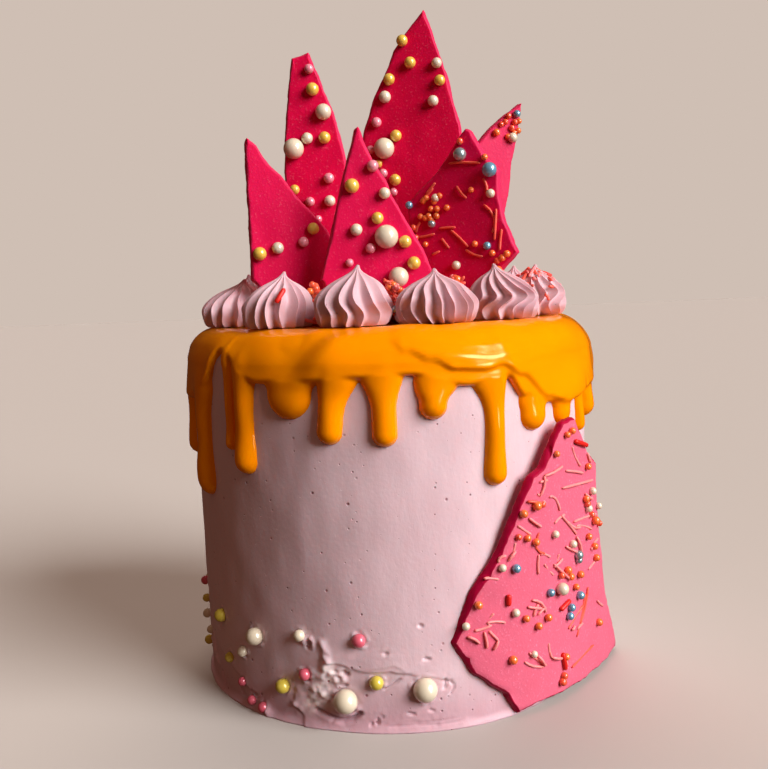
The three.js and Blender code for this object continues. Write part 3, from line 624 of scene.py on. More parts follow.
def glaze_surface():
    """The glaze's outline turned round the cake, from the lowest drip up the wall, over the rounded
    edge and in over the top. Returns the points of its outside and of its buried underside, and a
    form that is 0 where the sheet is cut off."""
    wall_drops = np.linspace(LOWEST_DRIP, CAKE_HEIGHT - CREAM_TOP + CREAM_FILLET, GLAZE_ROWS)
    angles = np.radians(np.linspace(0, 90, EDGE_ROWS)[1:])
    flat_radii = np.array([64, 56, 46, 34, 20, 8.0])
    heights = np.concatenate([
        CAKE_HEIGHT - wall_drops,
        CREAM_TOP - CREAM_FILLET * (1 - np.sin(angles)),
        np.full(len(flat_radii), CREAM_TOP),
    ])
    fillet = BASE_RADIUS + WALL_FLARE - CREAM_FILLET * (1 - np.cos(angles))
    radii = np.concatenate([cream_radius(CAKE_HEIGHT - wall_drops), fillet, flat_radii])
    tilt = np.concatenate([0 * wall_drops, angles, np.full(len(flat_radii), math.pi / 2)])
    turned = np.linspace(-180, 180, GLAZE_COLUMNS, endpoint=False)
    azimuth, height = np.meshgrid(turned, heights)
    slope = np.broadcast_to(tilt[:, None], azimuth.shape)
    drop = CAKE_HEIGHT - height - TOP_GLAZE * np.sin(slope)
    form, depth = glaze_sheet(azimuth, drop)
    rounded = 2 - 0.8 * np.cos(slope) + np.sin(slope)
    depth = depth + (rounded - SHOULDER_GLAZE) * (slope > 0)
    depth = np.where(slope == math.pi / 2, TOP_GLAZE, depth)
    skins = []
    for lift in (depth, np.full(depth.shape, -BURIED)):
        radius = radii[:, None] + lift * np.cos(slope)
        skins.append(around(azimuth, radius, height + lift * np.sin(slope)))
    return skins, form + RIM_CUT


def cut_faces(form):
    """Cells of a grid with closed columns, cut along the line where the form is 0. A cell's corners
    are numbered 0 to 3 and its edges 4 to 7. Returns whole cells, the cut cells' triangles, and for
    each cut the two corners that it lies between. Point numbers run over corners, level edges and
    upright edges."""
    fans = {
        1: (0, 4, 7), 2: (1, 5, 4), 3: (0, 1, 5, 7), 4: (2, 6, 5), 6: (1, 2, 6, 4), 7: (0, 1, 2, 6, 7),
        8: (3, 7, 6), 9: (0, 4, 6, 3), 11: (0, 1, 5, 6, 3), 12: (2, 3, 7, 5), 13: (0, 4, 5, 2, 3),
        14: (1, 2, 3, 7, 4),
    }
    rows, columns = form.shape
    row, column = np.mgrid[0 : rows - 1, 0:columns]
    beside = (column + 1) % columns
    count = rows * columns
    low, low_beside = row * columns + column, row * columns + beside
    high, high_beside = low + columns, low_beside + columns
    corners = np.stack([low, low_beside, high_beside, high], axis=-1)
    edges = np.stack([count + low, 2 * count + low_beside, count + high, 2 * count + low], axis=-1)
    numbers = np.concatenate([corners, edges], axis=-1).reshape(-1, 8)
    inside = form.ravel()[corners.reshape(-1, 4)] > 0
    case = inside @ (1, 2, 4, 8)
    triangles = []
    for code, polygon in fans.items():
        cells = numbers[case == code]
        for second, third in zip(polygon[1:-1], polygon[2:]):
            triangles.append(cells[:, [polygon[0], second, third]])
    for first, second in (((0, 4, 7), (2, 6, 5)), ((1, 5, 4), (3, 7, 6))):
        cells = numbers[case == (5 if first[0] == 0 else 10)]
        triangles += [cells[:, first], cells[:, second]]
    grid = np.arange(count).reshape(rows, columns)
    level = np.stack([grid, np.roll(grid, -1, axis=1)], axis=-1).reshape(-1, 2)
    upright = np.stack([grid, np.roll(grid, -1, axis=0)], axis=-1).reshape(-1, 2)
    return numbers[case == 15][:, :4], np.concatenate(triangles), np.concatenate([level, upright])


def glaze_mesh():
    """The sheet's outside and its buried underside, which meet at the cut along the rim."""
    (outside, underside), form = glaze_surface()
    quads, triangles, ends = cut_faces(form)
    values = form.ravel()[ends]
    share = (values[:, 0] / np.where(values[:, 0] == values[:, 1], 1, values[:, 0] - values[:, 1]))
    share = np.clip(share, 0, 1)[:, None]
    under = underside.reshape(-1, 3)
    rim = under[ends[:, 0]] * (1 - share) + under[ends[:, 1]] * share
    count = form.size
    grid_ends = [[0, 0, CAKE_HEIGHT], [0, 0, CREAM_TOP - BURIED]]
    points = np.concatenate([outside.reshape(-1, 3), rim, under, grid_ends])
    rim_end = count + len(rim)

    def turned_over(faces):
        """The same faces on the underside, where corners have their own points and cuts are shared."""
        return np.where(faces < count, faces + rim_end, faces)[:, ::-1]

    top_row = count - GLAZE_COLUMNS + np.arange(GLAZE_COLUMNS)
    top_beside = np.roll(top_row, -1)
    centre = np.full(GLAZE_COLUMNS, len(points) - 2)
    fan = np.stack([top_row, top_beside, centre], axis=-1)
    fan_under = np.stack([top_beside + rim_end, top_row + rim_end, centre + 1], axis=-1)
    faces = [quads, turned_over(quads), triangles, turned_over(triangles), fan, fan_under]
    used = np.unique(np.concatenate([block.ravel() for block in faces]))
    renumber = np.zeros(len(points), int)
    renumber[used] = np.arange(len(used))
    return points[used], [renumber[block] for block in faces]


# White-chocolate glaze: smooth, wet-looking fat that mirrors windows and glows a little where thin.
glaze_finish, glaze_shader = new_finish("poured orange glaze", "#ff9a00", {
    "Roughness": 0.12,
    "IOR": 1.46,
    "Specular IOR Level": 0.4,
    "Specular Tint": linear("#ffd9a0"),
    "Subsurface Weight": 0.15,
    "Subsurface Radius": (1.0, 0.6, 0.05),
    "Subsurface Scale": 0.001,
})
glaze_place = add_node(glaze_finish, "ShaderNodeTexCoord", {}).outputs["Object"]
glaze_cloud = add_node(glaze_finish, "ShaderNodeTexNoise", {
    "Vector": glaze_place, "Scale": 1 / (30 * MM), "Detail": 2.0,
})
glaze_tint = add_node(glaze_finish, "ShaderNodeMix", {
    "Factor": glaze_cloud.outputs["Fac"], "A": linear("#ff9a00"), "B": linear("#ff9000"),
}, data_type="RGBA")
glaze_finish.node_tree.links.new(glaze_tint.outputs["Result"], glaze_shader.inputs["Base Color"])
glaze = make_piece("drip_glaze", *glaze_mesh(), glaze_finish, "glaze")
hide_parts("glaze")

# The piped swirls
# Buttercream pressed through an open star nozzle held upright, with a small turn of the hand, and
# lifted off: thin crests between scooped valleys that bend on their way to a pulled tip.
SWIRL_RING_RADIUS = 60.5
SWIRL_LIFT = 0.3
RIDGE_DEPTH = 0.27
RIDGE_COLUMNS = 14  # they are closest at the crests
# Azimuth, radius, height, number of crests, where one crest stands at the foot, lean of the tip, and
# how far the crests have turned at each fifth of the height
SWIRLS = [
    (-78, 15, 18.5, 17, 4, 2.9, (0, 1, 0, 3, 8, 12)),
    (-40.5, 13.5, 20, 16, -12, 2.7, (0, 0, 1, 3, 8, 12)),
    (-11, 13.9, 21, 14, 15.5, 2.2, (0, 4, -8, -11, -8, -5)),
    (17, 14.8, 18.8, 18, 8, -0.3, (0, -6, -10, -12, -14, -15)),
    (45, 13.4, 20, 15, -15.5, -2.7, (0, 1, 22, 13, -1, -10)),
    (77, 12.9, 19.8, 14, 0, 1.2, (0, -2, 16, 9, 0, -4)),
]
# The swirl's side: (share of the radius, share of the height)
SWIRL_PROFILE = [
    (0.86, 0), (0.95, 0.07), (1, 0.2), (1, 0.35), (0.94, 0.475), (0.83, 0.585), (0.68, 0.685),
    (0.49, 0.77), (0.29, 0.84), (0.15, 0.9), (0.08, 0.95), (0.04, 1),
]


def hidden_swirls():
    """Six more round the side that faces away."""
    count = 6
    draws = np.reshape(source_numbers(5, 5 * count), (-1, 5))
    turns = np.array([[0, 3, 12, 9, 2, -3], [0, -4, -9, -11, -8, -5]])
    return [
        (112 + 170 / count * i, 13.3 + 0.9 * a, 18.5 + 2.5 * b, 15 + i % 3, 20 * c, 3 * e - 1.5,
         turns[i % 2] * (0.6 + 0.8 * d))
        for i, (a, b, c, d, e) in enumerate(draws)
    ]


def smooth_through(stations, shares):
    """A curve through stations at shares of its length, each stretch a cubic whose slope at a station
    is half the step from the station before to the one after."""
    stations = np.asarray(stations, float)
    ends = np.concatenate([[2 * stations[0] - stations[1]], stations, [2 * stations[-1] - stations[-2]]])
    along = np.clip(np.asarray(shares) * (len(stations) - 1), 0, len(stations) - 1 - 1e-9)
    step = along.astype(int)
    t = (along - step)[:, None]
    before, start, end, after = (ends[step + i] for i in range(4))
    return 0.5 * (
        2 * start + (end - before) * t + (2 * before - 5 * start + 4 * end - after) * t**2
        + (3 * start - before - 3 * end + after) * t**3
    )


def swirl_points(spec, seed):
    """The side's curve turned about the swirl's axis. The radius is cut back between the crests by
    a parabola, and each crest turns with the height. The scoops between them differ in width."""
    azimuth, radius, height, crests, first, tip_lean, turns = spec
    columns = crests * RIDGE_COLUMNS
    profile = smooth_through(SWIRL_PROFILE, np.linspace(0, 1, 46))
    across, up = profile[:, :1], profile[:, 1:]
    column = np.arange(columns)[None, :] / RIDGE_COLUMNS
    ridge = np.floor(column) + 0.5 - 0.5 * np.cos(math.pi * (column % 1))
    uneven = np.random.default_rng(seed).uniform(-0.16, 0.16, crests)
    steps = np.arange(crests + 1) + np.append(uneven, uneven[0])
    ridge_turn = np.interp(ridge, np.arange(crests + 1), steps) * 360 / crests
    to_crest = np.abs(np.cos(math.pi * (column % 1)))
    foot_gap = 1 + 0.25 * np.exp(-((up / 0.07) ** 2))
    scoop = 1 - RIDGE_DEPTH * foot_gap * (1 - 0.5 * up**2) * (1 - to_crest**2)
    turned = smooth_through(np.reshape(turns, (-1, 1)), np.clip(up[:, 0], 0, 1))
    turn = first + ridge_turn + turned
    ripple = waves(around(turn, 9.0, 20 * up) + seed * 31, 9, seed)
    local = around(turn + 2.0 * ripple, radius * across * scoop * (1 + 0.016 * ripple), height * up)
    local[..., 0] += tip_lean * up**3
    foot = around(azimuth, SWIRL_RING_RADIUS, CAKE_HEIGHT + SWIRL_LIFT)
    ends = [[0, 0, 0], [tip_lean, 0, height + 0.3]]
    return np.concatenate([local.reshape(-1, 3), ends]) + foot, ring_faces([columns] * len(profile))


piped_cream = buttercream("piped buttercream", "#dcbac2", "#cea6b0", 0.0008, 0.6)
for number, spec in enumerate(SWIRLS + hidden_swirls(), start=1):
    swirl = make_piece(f"piped_swirl_{number:02d}", *swirl_points(spec, number), piped_cream, "swirl")
    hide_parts(f"swirl_{number:02d}")

# The standing shards
# Coloured candy coating, melted, spread thin on paper and broken when it had set. The face that
# shows is the one that lay open to the air, and the broken edges are paler and rough.
SHARD_THICKNESS = 3.6
SHARD_FOOT = 12.0  # how deep they stand in the cake
FOOT_TOP = 16.0  # the foot's two sides go up to here
SHARD_CHIPPING = 0.35  # how much of the waves and chips the edge takes
EDGE_WAVES = ((0.5, 9), (0.3, 3.7), (0.25, 2.0))  # size and length of those that roughen an edge
# Each has its place, the azimuth that it faces, its colour, the foot's two sides, the point inside
# that sees its whole edge, and its outline over the foot as (across, up)
SHARDS = {
    "shard_front_left": {
        "place": (-36, -25), "facing": 12, "colour": "#e01450", "foot": (-13, 17), "heart": (-3, 32),
        "outline": [
            (-15.5, 18), (-15.5, 70), (-14.5, 72), (-11, 69), (-9, 65.5), (-6, 61.5), (-2, 57.5),
            (1, 53.5), (3.5, 49.5), (8, 45), (12, 40), (15, 36.5), (19, 26),
        ],
    },
    "shard_back_left": {
        "place": (-26, -6), "facing": 0, "colour": "#dc0a46", "foot": (-12, 12), "heart": (-1, 60),
        "outline": [
            (-13, 40), (-13, 61), (-12, 77), (-10, 94), (-8, 106), (-5, 106.5), (-1, 108), (4, 94),
            (8, 84), (10, 76), (12, 67), (14, 40),
        ],
    },
    "shard_front": {
        "place": (-3, -37), "facing": 4, "colour": "#e01450", "foot": (-20, 20), "heart": (-2, 32),
        "outline": [
            (-21, 17), (-17, 32), (-13, 48), (-9, 62), (-6, 72), (-4.5, 73), (-3, 68), (0, 61),
            (5, 53), (7, 47), (12, 38), (18, 27), (22, 17),
        ],
    },
    "shard_tall": {
        "place": (10, 8), "facing": -10, "colour": "#d40840", "foot": (-18, 20), "heart": (2, 65),
        "outline": [
            (-21, 35), (-20, 66), (-17, 79), (-12, 93), (-7, 102), (-3, 111), (1, 116), (5, 121),
            (10, 126), (13, 118), (16, 108), (19, 99), (21, 89), (24, 78), (25, 50),
        ],
    },
    "shard_dark": {
        "place": (28, -14), "facing": -25, "colour": "#e41052", "foot": (-17, 17), "heart": (2, 36),
        "outline": [
            (-19, 30), (-20, 47), (-13, 53), (-7, 58), (-2, 64), (3, 71), (6, 74), (8, 73),
            (14, 62), (19, 57), (19, 46), (21, 37), (26, 25),
        ],
    },
    "shard_far_right": {
        "place": (40, 13), "facing": 20, "colour": "#dc2f5f", "foot": (-8, 4), "heart": (0, 45),
        "outline": [
            (-8, 40), (-6, 66), (2, 73), (8, 79), (14, 84), (20, 88), (23, 90), (23, 87),
            (21, 76), (18, 65), (16, 51), (11, 32),
        ],
    },
}


def resample(outline, step):
    """Points at even steps along a closed outline, anticlockwise."""
    corners = np.asarray(outline, float)
    area = np.sum(corners[:, 0] * np.roll(corners[:, 1], -1) - corners[:, 1] * np.roll(corners[:, 0], -1))
    corners = corners if area > 0 else corners[::-1]
    closed = np.concatenate([corners, corners[:1]])
    length = np.concatenate([[0], np.cumsum(np.linalg.norm(np.diff(closed, axis=0), axis=1))])
    at = np.linspace(0, length[-1], int(length[-1] / step), endpoint=False)
    return np.stack([np.interp(at, length, closed[:, i]) for i in (0, 1)], axis=-1)


def room_inside(loop, inward):
    """How large a circle can touch an outline from inside at each of its points."""
    offset = loop[None] - loop[:, None]
    towards = np.einsum("ijk,ik->ij", offset, inward)
    square = (offset**2).sum(axis=-1)
    return np.where(towards > 1e-6, square / np.maximum(2 * towards, 1e-6), np.inf).min(axis=1)


def broken_plate(outline, heart, thickness, chipping, seed):
    """A plate as rings round a point inside it, from the back's middle over the broken edge to the
    front's middle: (across, up, out). The edge steps in towards the front, waves of three lengths
    roughen it, and chips are missing where a wave is high. The rings further in are evened out, so
    that no fold runs in from a corner. Also how much each ring is broken edge."""
    loop = resample(outline, 0.9)
    along = np.roll(loop, -1, axis=0) - np.roll(loop, 1, axis=0)
    outward = np.stack([along[:, 1], -along[:, 0]], axis=-1)
    outward /= np.linalg.norm(outward, axis=1)[:, None]
    room = room_inside(loop, -outward)
    heart = np.asarray(heart, float)
    # Each ring: inset from the edge, height out of the front's plane, and share of the way to the edge
    edge_rings = [
        (0.35, -thickness, 1), (0.0, 0.45 - thickness, 1), (-0.05, -0.72 * thickness, 1),
        (0.05, -0.5 * thickness, 1), (0.15, -0.28 * thickness, 1), (0.4, -0.4, 1), (0.75, -0.1, 1),
    ]
    back = [(0.35, -thickness, share) for share in (0.25, 0.6, 0.9)]
    front = [(1.0, 0.0, share) for share in (1, 0.96, 0.88, 0.78, 0.66, 0.54, 0.42, 0.3, 0.18, 0.08)]
    rings, broken = [], []
    for inset, out, share in back + edge_rings + front:
        at_edge = share == 1 and out < 0
        level = np.column_stack([loop, np.full(len(loop), 2.0 * out)]) + 50 * seed
        rough = sum(size * waves(level, long, seed + i) for i, (size, long) in enumerate(EDGE_WAVES))
        notches = np.maximum(waves(level, 6.5, seed + 3) - 1.5, 0)
        chips = chipping * (0.4 * rough - 1.1 * notches) * (1.0 if at_edge else 0.8)
        ring = loop + outward * np.maximum(chips - inset, -0.6 * room)[:, None]
        for _ in range(round((1 - share) * 60)):
            ring = (np.roll(ring, 1, axis=0) + 2 * ring + np.roll(ring, -1, axis=0)) / 4
        ring = heart + (ring - heart) * share
        relief = 0.09 * waves(np.column_stack([ring, np.zeros(len(ring))]) + 50 * seed, 11, seed + 2)
        rings.append(np.column_stack([ring, out + relief * (out == 0)]))
        broken.append(np.full(len(loop), 1.0 if at_edge and out > -thickness else 0.0))
    ends = [[*heart, -thickness], [*heart, 0.0]]
    points = np.concatenate([np.reshape(rings, (-1, 3)), ends])
    return points, ring_faces([len(loop)] * len(rings)), np.concatenate([np.ravel(broken), [0, 0]])


def upright(spec, points):
    """A shard's own plane set on the cake: across and out are turned to the azimuth it faces."""
    turn = math.radians(spec["facing"])
    across, up, out = np.asarray(points, float).T
    x = spec["place"][0] + across * math.cos(turn) + out * math.sin(turn)
    y = spec["place"][1] + across * math.sin(turn) - out * math.cos(turn)
    return np.stack([x, y, CAKE_HEIGHT + up], axis=-1)


def candy(name, colour, break_colour_and_shade, speckle):
    """Set candy coating, a fat with fine sugar in it: satin, with a bloom of pale specks where the
    fat has come out, and a crumbly break in the edge colour given: paler on the standing shards, and
    dark crimson painted shade on the side shard."""
    finish, shader = new_finish(name, colour, {
        "Roughness": 0.45,
        "IOR": 1.45,
        "Specular IOR Level": 0.2,
        "Specular Tint": linear("#ff9db4"),
        "Subsurface Weight": 0.12,
        "Subsurface Radius": (1.0, 0.2, 0.25),
        "Subsurface Scale": 0.002,
    })
    place = add_node(finish, "ShaderNodeTexCoord", {}).outputs["Object"]
    cloudy = add_node(finish, "ShaderNodeTexNoise", {
        "Vector": place, "Scale": 1 / (12 * MM), "Detail": 4.0,
    })
    darker = [0.86 * part for part in linear(colour)[:3]] + [1.0]
    face = add_node(finish, "ShaderNodeMix", {
        "Factor": cloudy.outputs["Fac"], "A": darker, "B": linear(colour),
    }, data_type="RGBA")
    specks = add_node(finish, "ShaderNodeTexNoise", {
        "Vector": place, "Scale": 1 / (0.9 * MM), "Detail": 2.0,
    })
    bloom = add_node(finish, "ShaderNodeMapRange", {
        "Value": specks.outputs["Fac"], "From Min": 0.60, "From Max": 0.78, "To Max": speckle,
    })
    bloomed = add_node(finish, "ShaderNodeMix", {
        "Factor": bloom.outputs["Result"], "A": face.outputs["Result"], "B": linear("#f59ab4"),
    }, data_type="RGBA")
    broken = add_node(finish, "ShaderNodeAttribute", {}, attribute_name="broken")
    whole = add_node(finish, "ShaderNodeMix", {
        "Factor": broken.outputs["Fac"], "A": bloomed.outputs["Result"], "B": linear(break_colour_and_shade),
    }, data_type="RGBA")
    bump = add_node(finish, "ShaderNodeBump", {
        "Height": specks.outputs["Fac"], "Distance": 0.25 * MM, "Strength": 0.5,
    })
    finish.node_tree.links.new(whole.outputs["Result"], shader.inputs["Base Color"])
    finish.node_tree.links.new(bump.outputs["Normal"], shader.inputs["Normal"])
    return finish


for seed, (node, spec) in enumerate(SHARDS.items(), start=11):
    left, right = spec["foot"]
    outline = [(left, -SHARD_FOOT), (left, FOOT_TOP), *spec["outline"]]
    outline += [(right, FOOT_TOP), (right, -SHARD_FOOT)]
    plate_points, plate_faces, plate_broken = broken_plate(
        outline, spec["heart"], SHARD_THICKNESS, SHARD_CHIPPING, seed
    )
    shard_finish = candy(f"candy coating of {node}", spec["colour"], "#d62f5c", 0.15)
    piece_name = node.replace("shard", "candy_shard")
    shard = make_piece(piece_name, upright(spec, plate_points), plate_faces, shard_finish, "shard")
    keep_on_points(shard, "broken", plate_broken)
    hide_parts(node)

# The side shard
# The largest piece of candy, pressed against the wall's right front. Its broken edge is painted
# dark crimson as painted shade. It is bent round the wall, most of all on its left.
SIDE_SHARD = {
    "facing": 45, "distance": 82.9, "lean": 0.045, "bend": 150.0, "left_bend": 62.0, "drawn_in": 0.0029,
    "thickness": 3.2, "chipping": 0.6, "heart": (5, 42),
    "outline": [
        (-14, 2.6), (7, 1.8), (20, 1.5), (37, 0.9), (54, 0.6), (55, 3), (46, 17), (37, 30), (33, 43),
        (29, 55.5), (25.5, 68), (23.5, 85), (15.5, 91), (11, 98), (5.5, 104.5), (-1.5, 103.5),
        (-5.5, 99), (-9.5, 93), (-12, 88.5), (-17, 86.5), (-21, 80), (-32, 59.5), (-41.5, 48),
        (-49, 32.5), (-50, 31), (-41.5, 19), (-33, 13), (-27, 9), (-22, 1),
    ],
}


def against_wall(points):
    """The side shard's plane bent round the cake: it stands off by the lean times the height, and
    falls back to the sides as a parabola, more on the left, where it hugs the wall."""
    across, up, out = np.asarray(points, float).T
    leftwards = np.minimum(across, 0)
    across = across + SIDE_SHARD["drawn_in"] * leftwards**2
    bend = np.where(across < 0, SIDE_SHARD["left_bend"], SIDE_SHARD["bend"])
    out = out + SIDE_SHARD["distance"] + SIDE_SHARD["lean"] * up - across**2 / (2 * bend)
    turn = math.radians(SIDE_SHARD["facing"])
    x = across * math.cos(turn) + out * math.sin(turn)
    return np.stack([x, across * math.sin(turn) - out * math.cos(turn), up], axis=-1)


side_points, side_faces, side_broken = broken_plate(
    *(SIDE_SHARD[key] for key in ("outline", "heart", "thickness", "chipping")), 31
)
side_points = against_wall(side_points)
# The dark crimson edge colour is painted shade on the broken edges.
side_finish = candy("pink candy coating", "#e66c87", "#a80a38", 0.6)
side_shard = make_piece("candy_side_shard", side_points, side_faces, side_finish, "side_shard")
keep_on_points(side_shard, "broken", side_broken)
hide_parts("side_shard")

# The bed of sprinkles
# Inside the ring of swirls the glaze is covered with a heap of sugar strands and nonpareils, two or
# three deep, over a core that stands for those beneath.
BED_RADIUS = 45.5
BED_HEIGHT = 13.5
BED_STRANDS = 1500
BED_BEADS = 620
CORE_DEPTH = 0.8  # how deep the core lies in the heap
CORE_FOOT = 0.3  # its lowest points lie this high over the glaze


def bed_height(share):
    """Height of the heap over the glaze at a share of its radius."""
    return BED_HEIGHT * (1 - 0.35 * share**2 - 0.45 * share**8)


bed_shares = np.array([0.98, 1.0, 0.97, 0.9, 0.8, 0.65, 0.5, 0.3, 0.12])
bed_turns = np.linspace(0, 360, 120, endpoint=False)
bed_levels = np.concatenate([[0], bed_height(bed_shares[1:]) - CORE_DEPTH])
bed_azimuth, bed_level = np.meshgrid(bed_turns, CAKE_HEIGHT + np.maximum(bed_levels, CORE_FOOT))
bed_core = around(bed_azimuth, BED_RADIUS * bed_shares[:, None] - 1, bed_level)
bed_core[..., 2] += 0.45 * waves(bed_core, 4.5, 41) * (bed_shares[:, None] < 0.97)
bed_finish, bed_shader = new_finish("packed sprinkles", "#c4402e", {"Roughness": 0.5, "IOR": 1.5})
bed_place = add_node(bed_finish, "ShaderNodeTexCoord", {}).outputs["Object"]
bed_grains = add_node(bed_finish, "ShaderNodeTexVoronoi", {
    "Vector": bed_place, "Scale": 1 / (2.4 * MM),
})
# Painted shade: the core is painted darker towards the border of each 2.4 mm cell, for the gaps between the
# grains.
bed_gaps_painted_shade = add_node(bed_finish, "ShaderNodeMix", {
    "Factor": bed_grains.outputs["Distance"], "A": linear("#d9543c"), "B": linear("#8e2419"),
}, data_type="RGBA")
bed_finish.node_tree.links.new(bed_gaps_painted_shade.outputs["Result"], bed_shader.inputs["Base Color"])
bed_ends = [[0, 0, CAKE_HEIGHT + CORE_FOOT], [0, 0, CAKE_HEIGHT + BED_HEIGHT - CORE_DEPTH]]
bed_points = np.concatenate([bed_core.reshape(-1, 3), bed_ends])
bed_faces = ring_faces([len(bed_turns)] * len(bed_shares))
bed = make_piece("sprinkle_bed_core", bed_points, bed_faces, bed_finish, "sprinkles")
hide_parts("sprinkle_bed")

# The sugar pearls
# Pressed sugar balls polished in a drum with pearl dust, of 3 to 9 mm, set on the shards while they
# were soft and pushed into the foot of the wall.
# On each shard, of each kind: across, up, diameter
SHARD_PEARLS = {
    "shard_front_left": {
        "gold": [(9, 37, 4.6), (-12, 28, 5.2)],
        "rose": [(5, 32, 4)],
        "cream": [(-5, 30, 4.6)],
    },
    "shard_back_left": {
        "rose": [(-1, 101, 3.8), (5, 58, 4.2), (-3, 49, 3.8), (0, 42, 3)],
        "gold": [(0, 93, 5.2), (4, 74, 4.8), (-9, 54, 4)],
        "cream": [(4, 84, 6.4), (-3, 74, 4.6), (-8.5, 70, 8.2), (5, 49, 4.5)],
    },
    "shard_front": {
        "rose": [(0, 58, 4.4), (-2, 28, 3.8), (-10, 23, 3)],
        "gold": [(-8, 51, 5.4), (1, 39, 4.5), (11, 30, 4.7), (14, 22, 4.9)],
        "cream": [(4, 48, 4.3), (-7, 35, 4.5), (4, 32, 8.8), (8, 17, 7.5)],
    },
    "shard_tall": {
        "gold": [
            (1, 114, 4.7), (4, 105, 4.7), (16, 97, 4.5), (-5, 99, 4.8), (-3, 76, 4.8), (-11, 65, 3.5),
            (-4, 58, 4.8),
        ],
        "cream": [(15, 104, 4.3), (-7, 92, 5), (13, 89, 4.5), (-8, 71, 8.6)],
        "rose": [(-11, 82, 4.2), (-14, 71, 3.5), (-9, 61, 3.8), (-5, 53, 3.5)],
    },
    "shard_dark": {
        "silver": [(4, 64, 5.2), (-9, 38, 3.2)],
        "blue": [(16, 57, 5.8), (-18.5, 46, 3.2), (14, 28, 3.2)],
        "cream": [(16, 48, 3.5), (-7, 48, 3.3), (1, 21, 3.6)],
    },
    "shard_far_right": {"blue": [(20, 85, 3.2)], "cream": [(17.5, 75, 4.2)]},
    "side_shard": {
        "blue": [(-25, 55, 3.2), (-8, 43, 3), (11, 37, 3.2), (5, 34, 3), (4, 31, 3)],
        "silver": [(9, 53, 3.4), (9.4, 51, 2.8)],
        "cream": [
            (-2, 43, 4.7), (19, 75, 3), (16, 69, 3), (-6, 64, 2.8), (5, 58, 3), (-25, 39, 3),
            (-46, 37, 2.8), (-31, 56, 2.8), (25, 68, 2.6), (-16, 22, 2.6),
        ],
    },
}
LOOSE_PEARLS = [(3.1, 58.5, 5.5, 2.8, "silver")]  # azimuth, radius, height over the glaze
# Each kind's colour, metallic share, roughness and coat
PEARL_KINDS = {
    "cream": ("#e4dabe", 0.05, 0.3, 0.9),
    "gold": ("#eec63a", 0.1, 0.3, 0.9),
    "lemon": ("#dac62c", 0.1, 0.3, 0.9),
    "rose": ("#f08c9e", 0.05, 0.3, 0.9),
    "pink": ("#de506a", 0.1, 0.32, 0.7),
    "blue": ("#7ab6d4", 0.45, 0.26, 0.6),
    "silver": ("#a6bec2", 0.6, 0.24, 0.6),
}
SUNK = 0.28  # how far a pearl's centre stands out of what holds it, as a share of its diameter
PEARL_MESH = (15, 24)  # rows and columns


def ball(rows, columns):
    """A unit ball: rings of latitude between two poles."""
    latitude = np.radians(np.linspace(-90, 90, rows + 2))[1:-1, None]
    longitude = np.linspace(0, 2 * math.pi, columns, endpoint=False)
    ring = [np.cos(latitude) * np.cos(longitude), np.cos(latitude) * np.sin(longitude)]
    points = np.stack([*ring, np.broadcast_to(np.sin(latitude), ring[0].shape)], axis=-1)
    return np.concatenate([points.reshape(-1, 3), [[0, 0, -1], [0, 0, 1]]]), ring_faces([columns] * rows)


def copies(faces, count, size):
    """The faces of one shape, for many copies of it whose points follow each other."""
    offsets = (np.arange(count) * size)[:, None, None]
    return [(block[None] + offsets).reshape(-1, block.shape[1]) for block in faces]


def balls(centres, diameters, rows, columns):
    """Many balls in one mesh: a unit ball times half each diameter, moved to each centre."""
    unit, faces = ball(rows, columns)
    radii = np.asarray(diameters, float)[:, None, None] / 2
    points = np.asarray(centres, float)[:, None, :] + unit[None] * radii
    return points.reshape(-1, 3), copies(faces, len(radii), len(unit))


def over_shard(node, points):
    """Points over a shard's face, given as (across, up, out), set on the cake."""
    return against_wall(points) if node == "side_shard" else upright(SHARDS[node], points)


def balls_on_shards(groups, sunk):
    """Kind, centre and diameter of each ball on the shards. Its centre stands out of the face by a
    share of the diameter."""
    return [
        (kind, over_shard(node, [(across, up, sunk * diameter)])[0], diameter)
        for node, kinds in groups.items()
        for kind, rows in kinds.items()
        for across, up, diameter in rows
    ]


def polished(name, colour, metallic, roughness, coat):
    """Sugar polished with pearl dust: a soft broad shine under a thin clear glaze."""
    finish, shader = new_finish(name, colour, {
        "Metallic": metallic,
        "Roughness": roughness,
        "IOR": 1.5,
        "Coat Weight": coat,
        "Coat Roughness": 0.14,
    })
    place = add_node(finish, "ShaderNodeTexCoord", {}).outputs["Object"]
    dust = add_node(finish, "ShaderNodeTexNoise", {
        "Vector": place, "Scale": 1 / (2.5 * MM), "Detail": 2.0,
    })
    paler = [0.88 * part + 0.12 for part in linear(colour)[:3]] + [1.0]
    tint = add_node(finish, "ShaderNodeMix", {
        "Factor": dust.outputs["Fac"], "A": linear(colour), "B": paler,
    }, data_type="RGBA")
    finish.node_tree.links.new(tint.outputs["Result"], shader.inputs["Base Color"])
    return finish


pearls = {kind: [] for kind in PEARL_KINDS}
for kind, centre, diameter in balls_on_shards(SHARD_PEARLS, SUNK):
    pearls[kind].append((centre, diameter))
for azimuth, height, diameter, kind, *proud in foot_pearls:
    stand = (proud[0] if proud else PEARL_PROUD) * diameter
    pearls[kind].append((around(azimuth, cream_radius(height) + stand, height), diameter))
for azimuth, radius, height, diameter, kind in LOOSE_PEARLS:
    pearls[kind].append((around(azimuth, radius, CAKE_HEIGHT + height), diameter))
for kind, (colour, metallic, roughness, coat) in PEARL_KINDS.items():
    centres, diameters = zip(*pearls[kind])
    pearl_finish = polished(f"{kind} sugar pearl", colour, metallic, roughness, coat)
    make_piece(f"pearls_{kind}", *balls(centres, diameters, *PEARL_MESH), pearl_finish, "sprinkles")

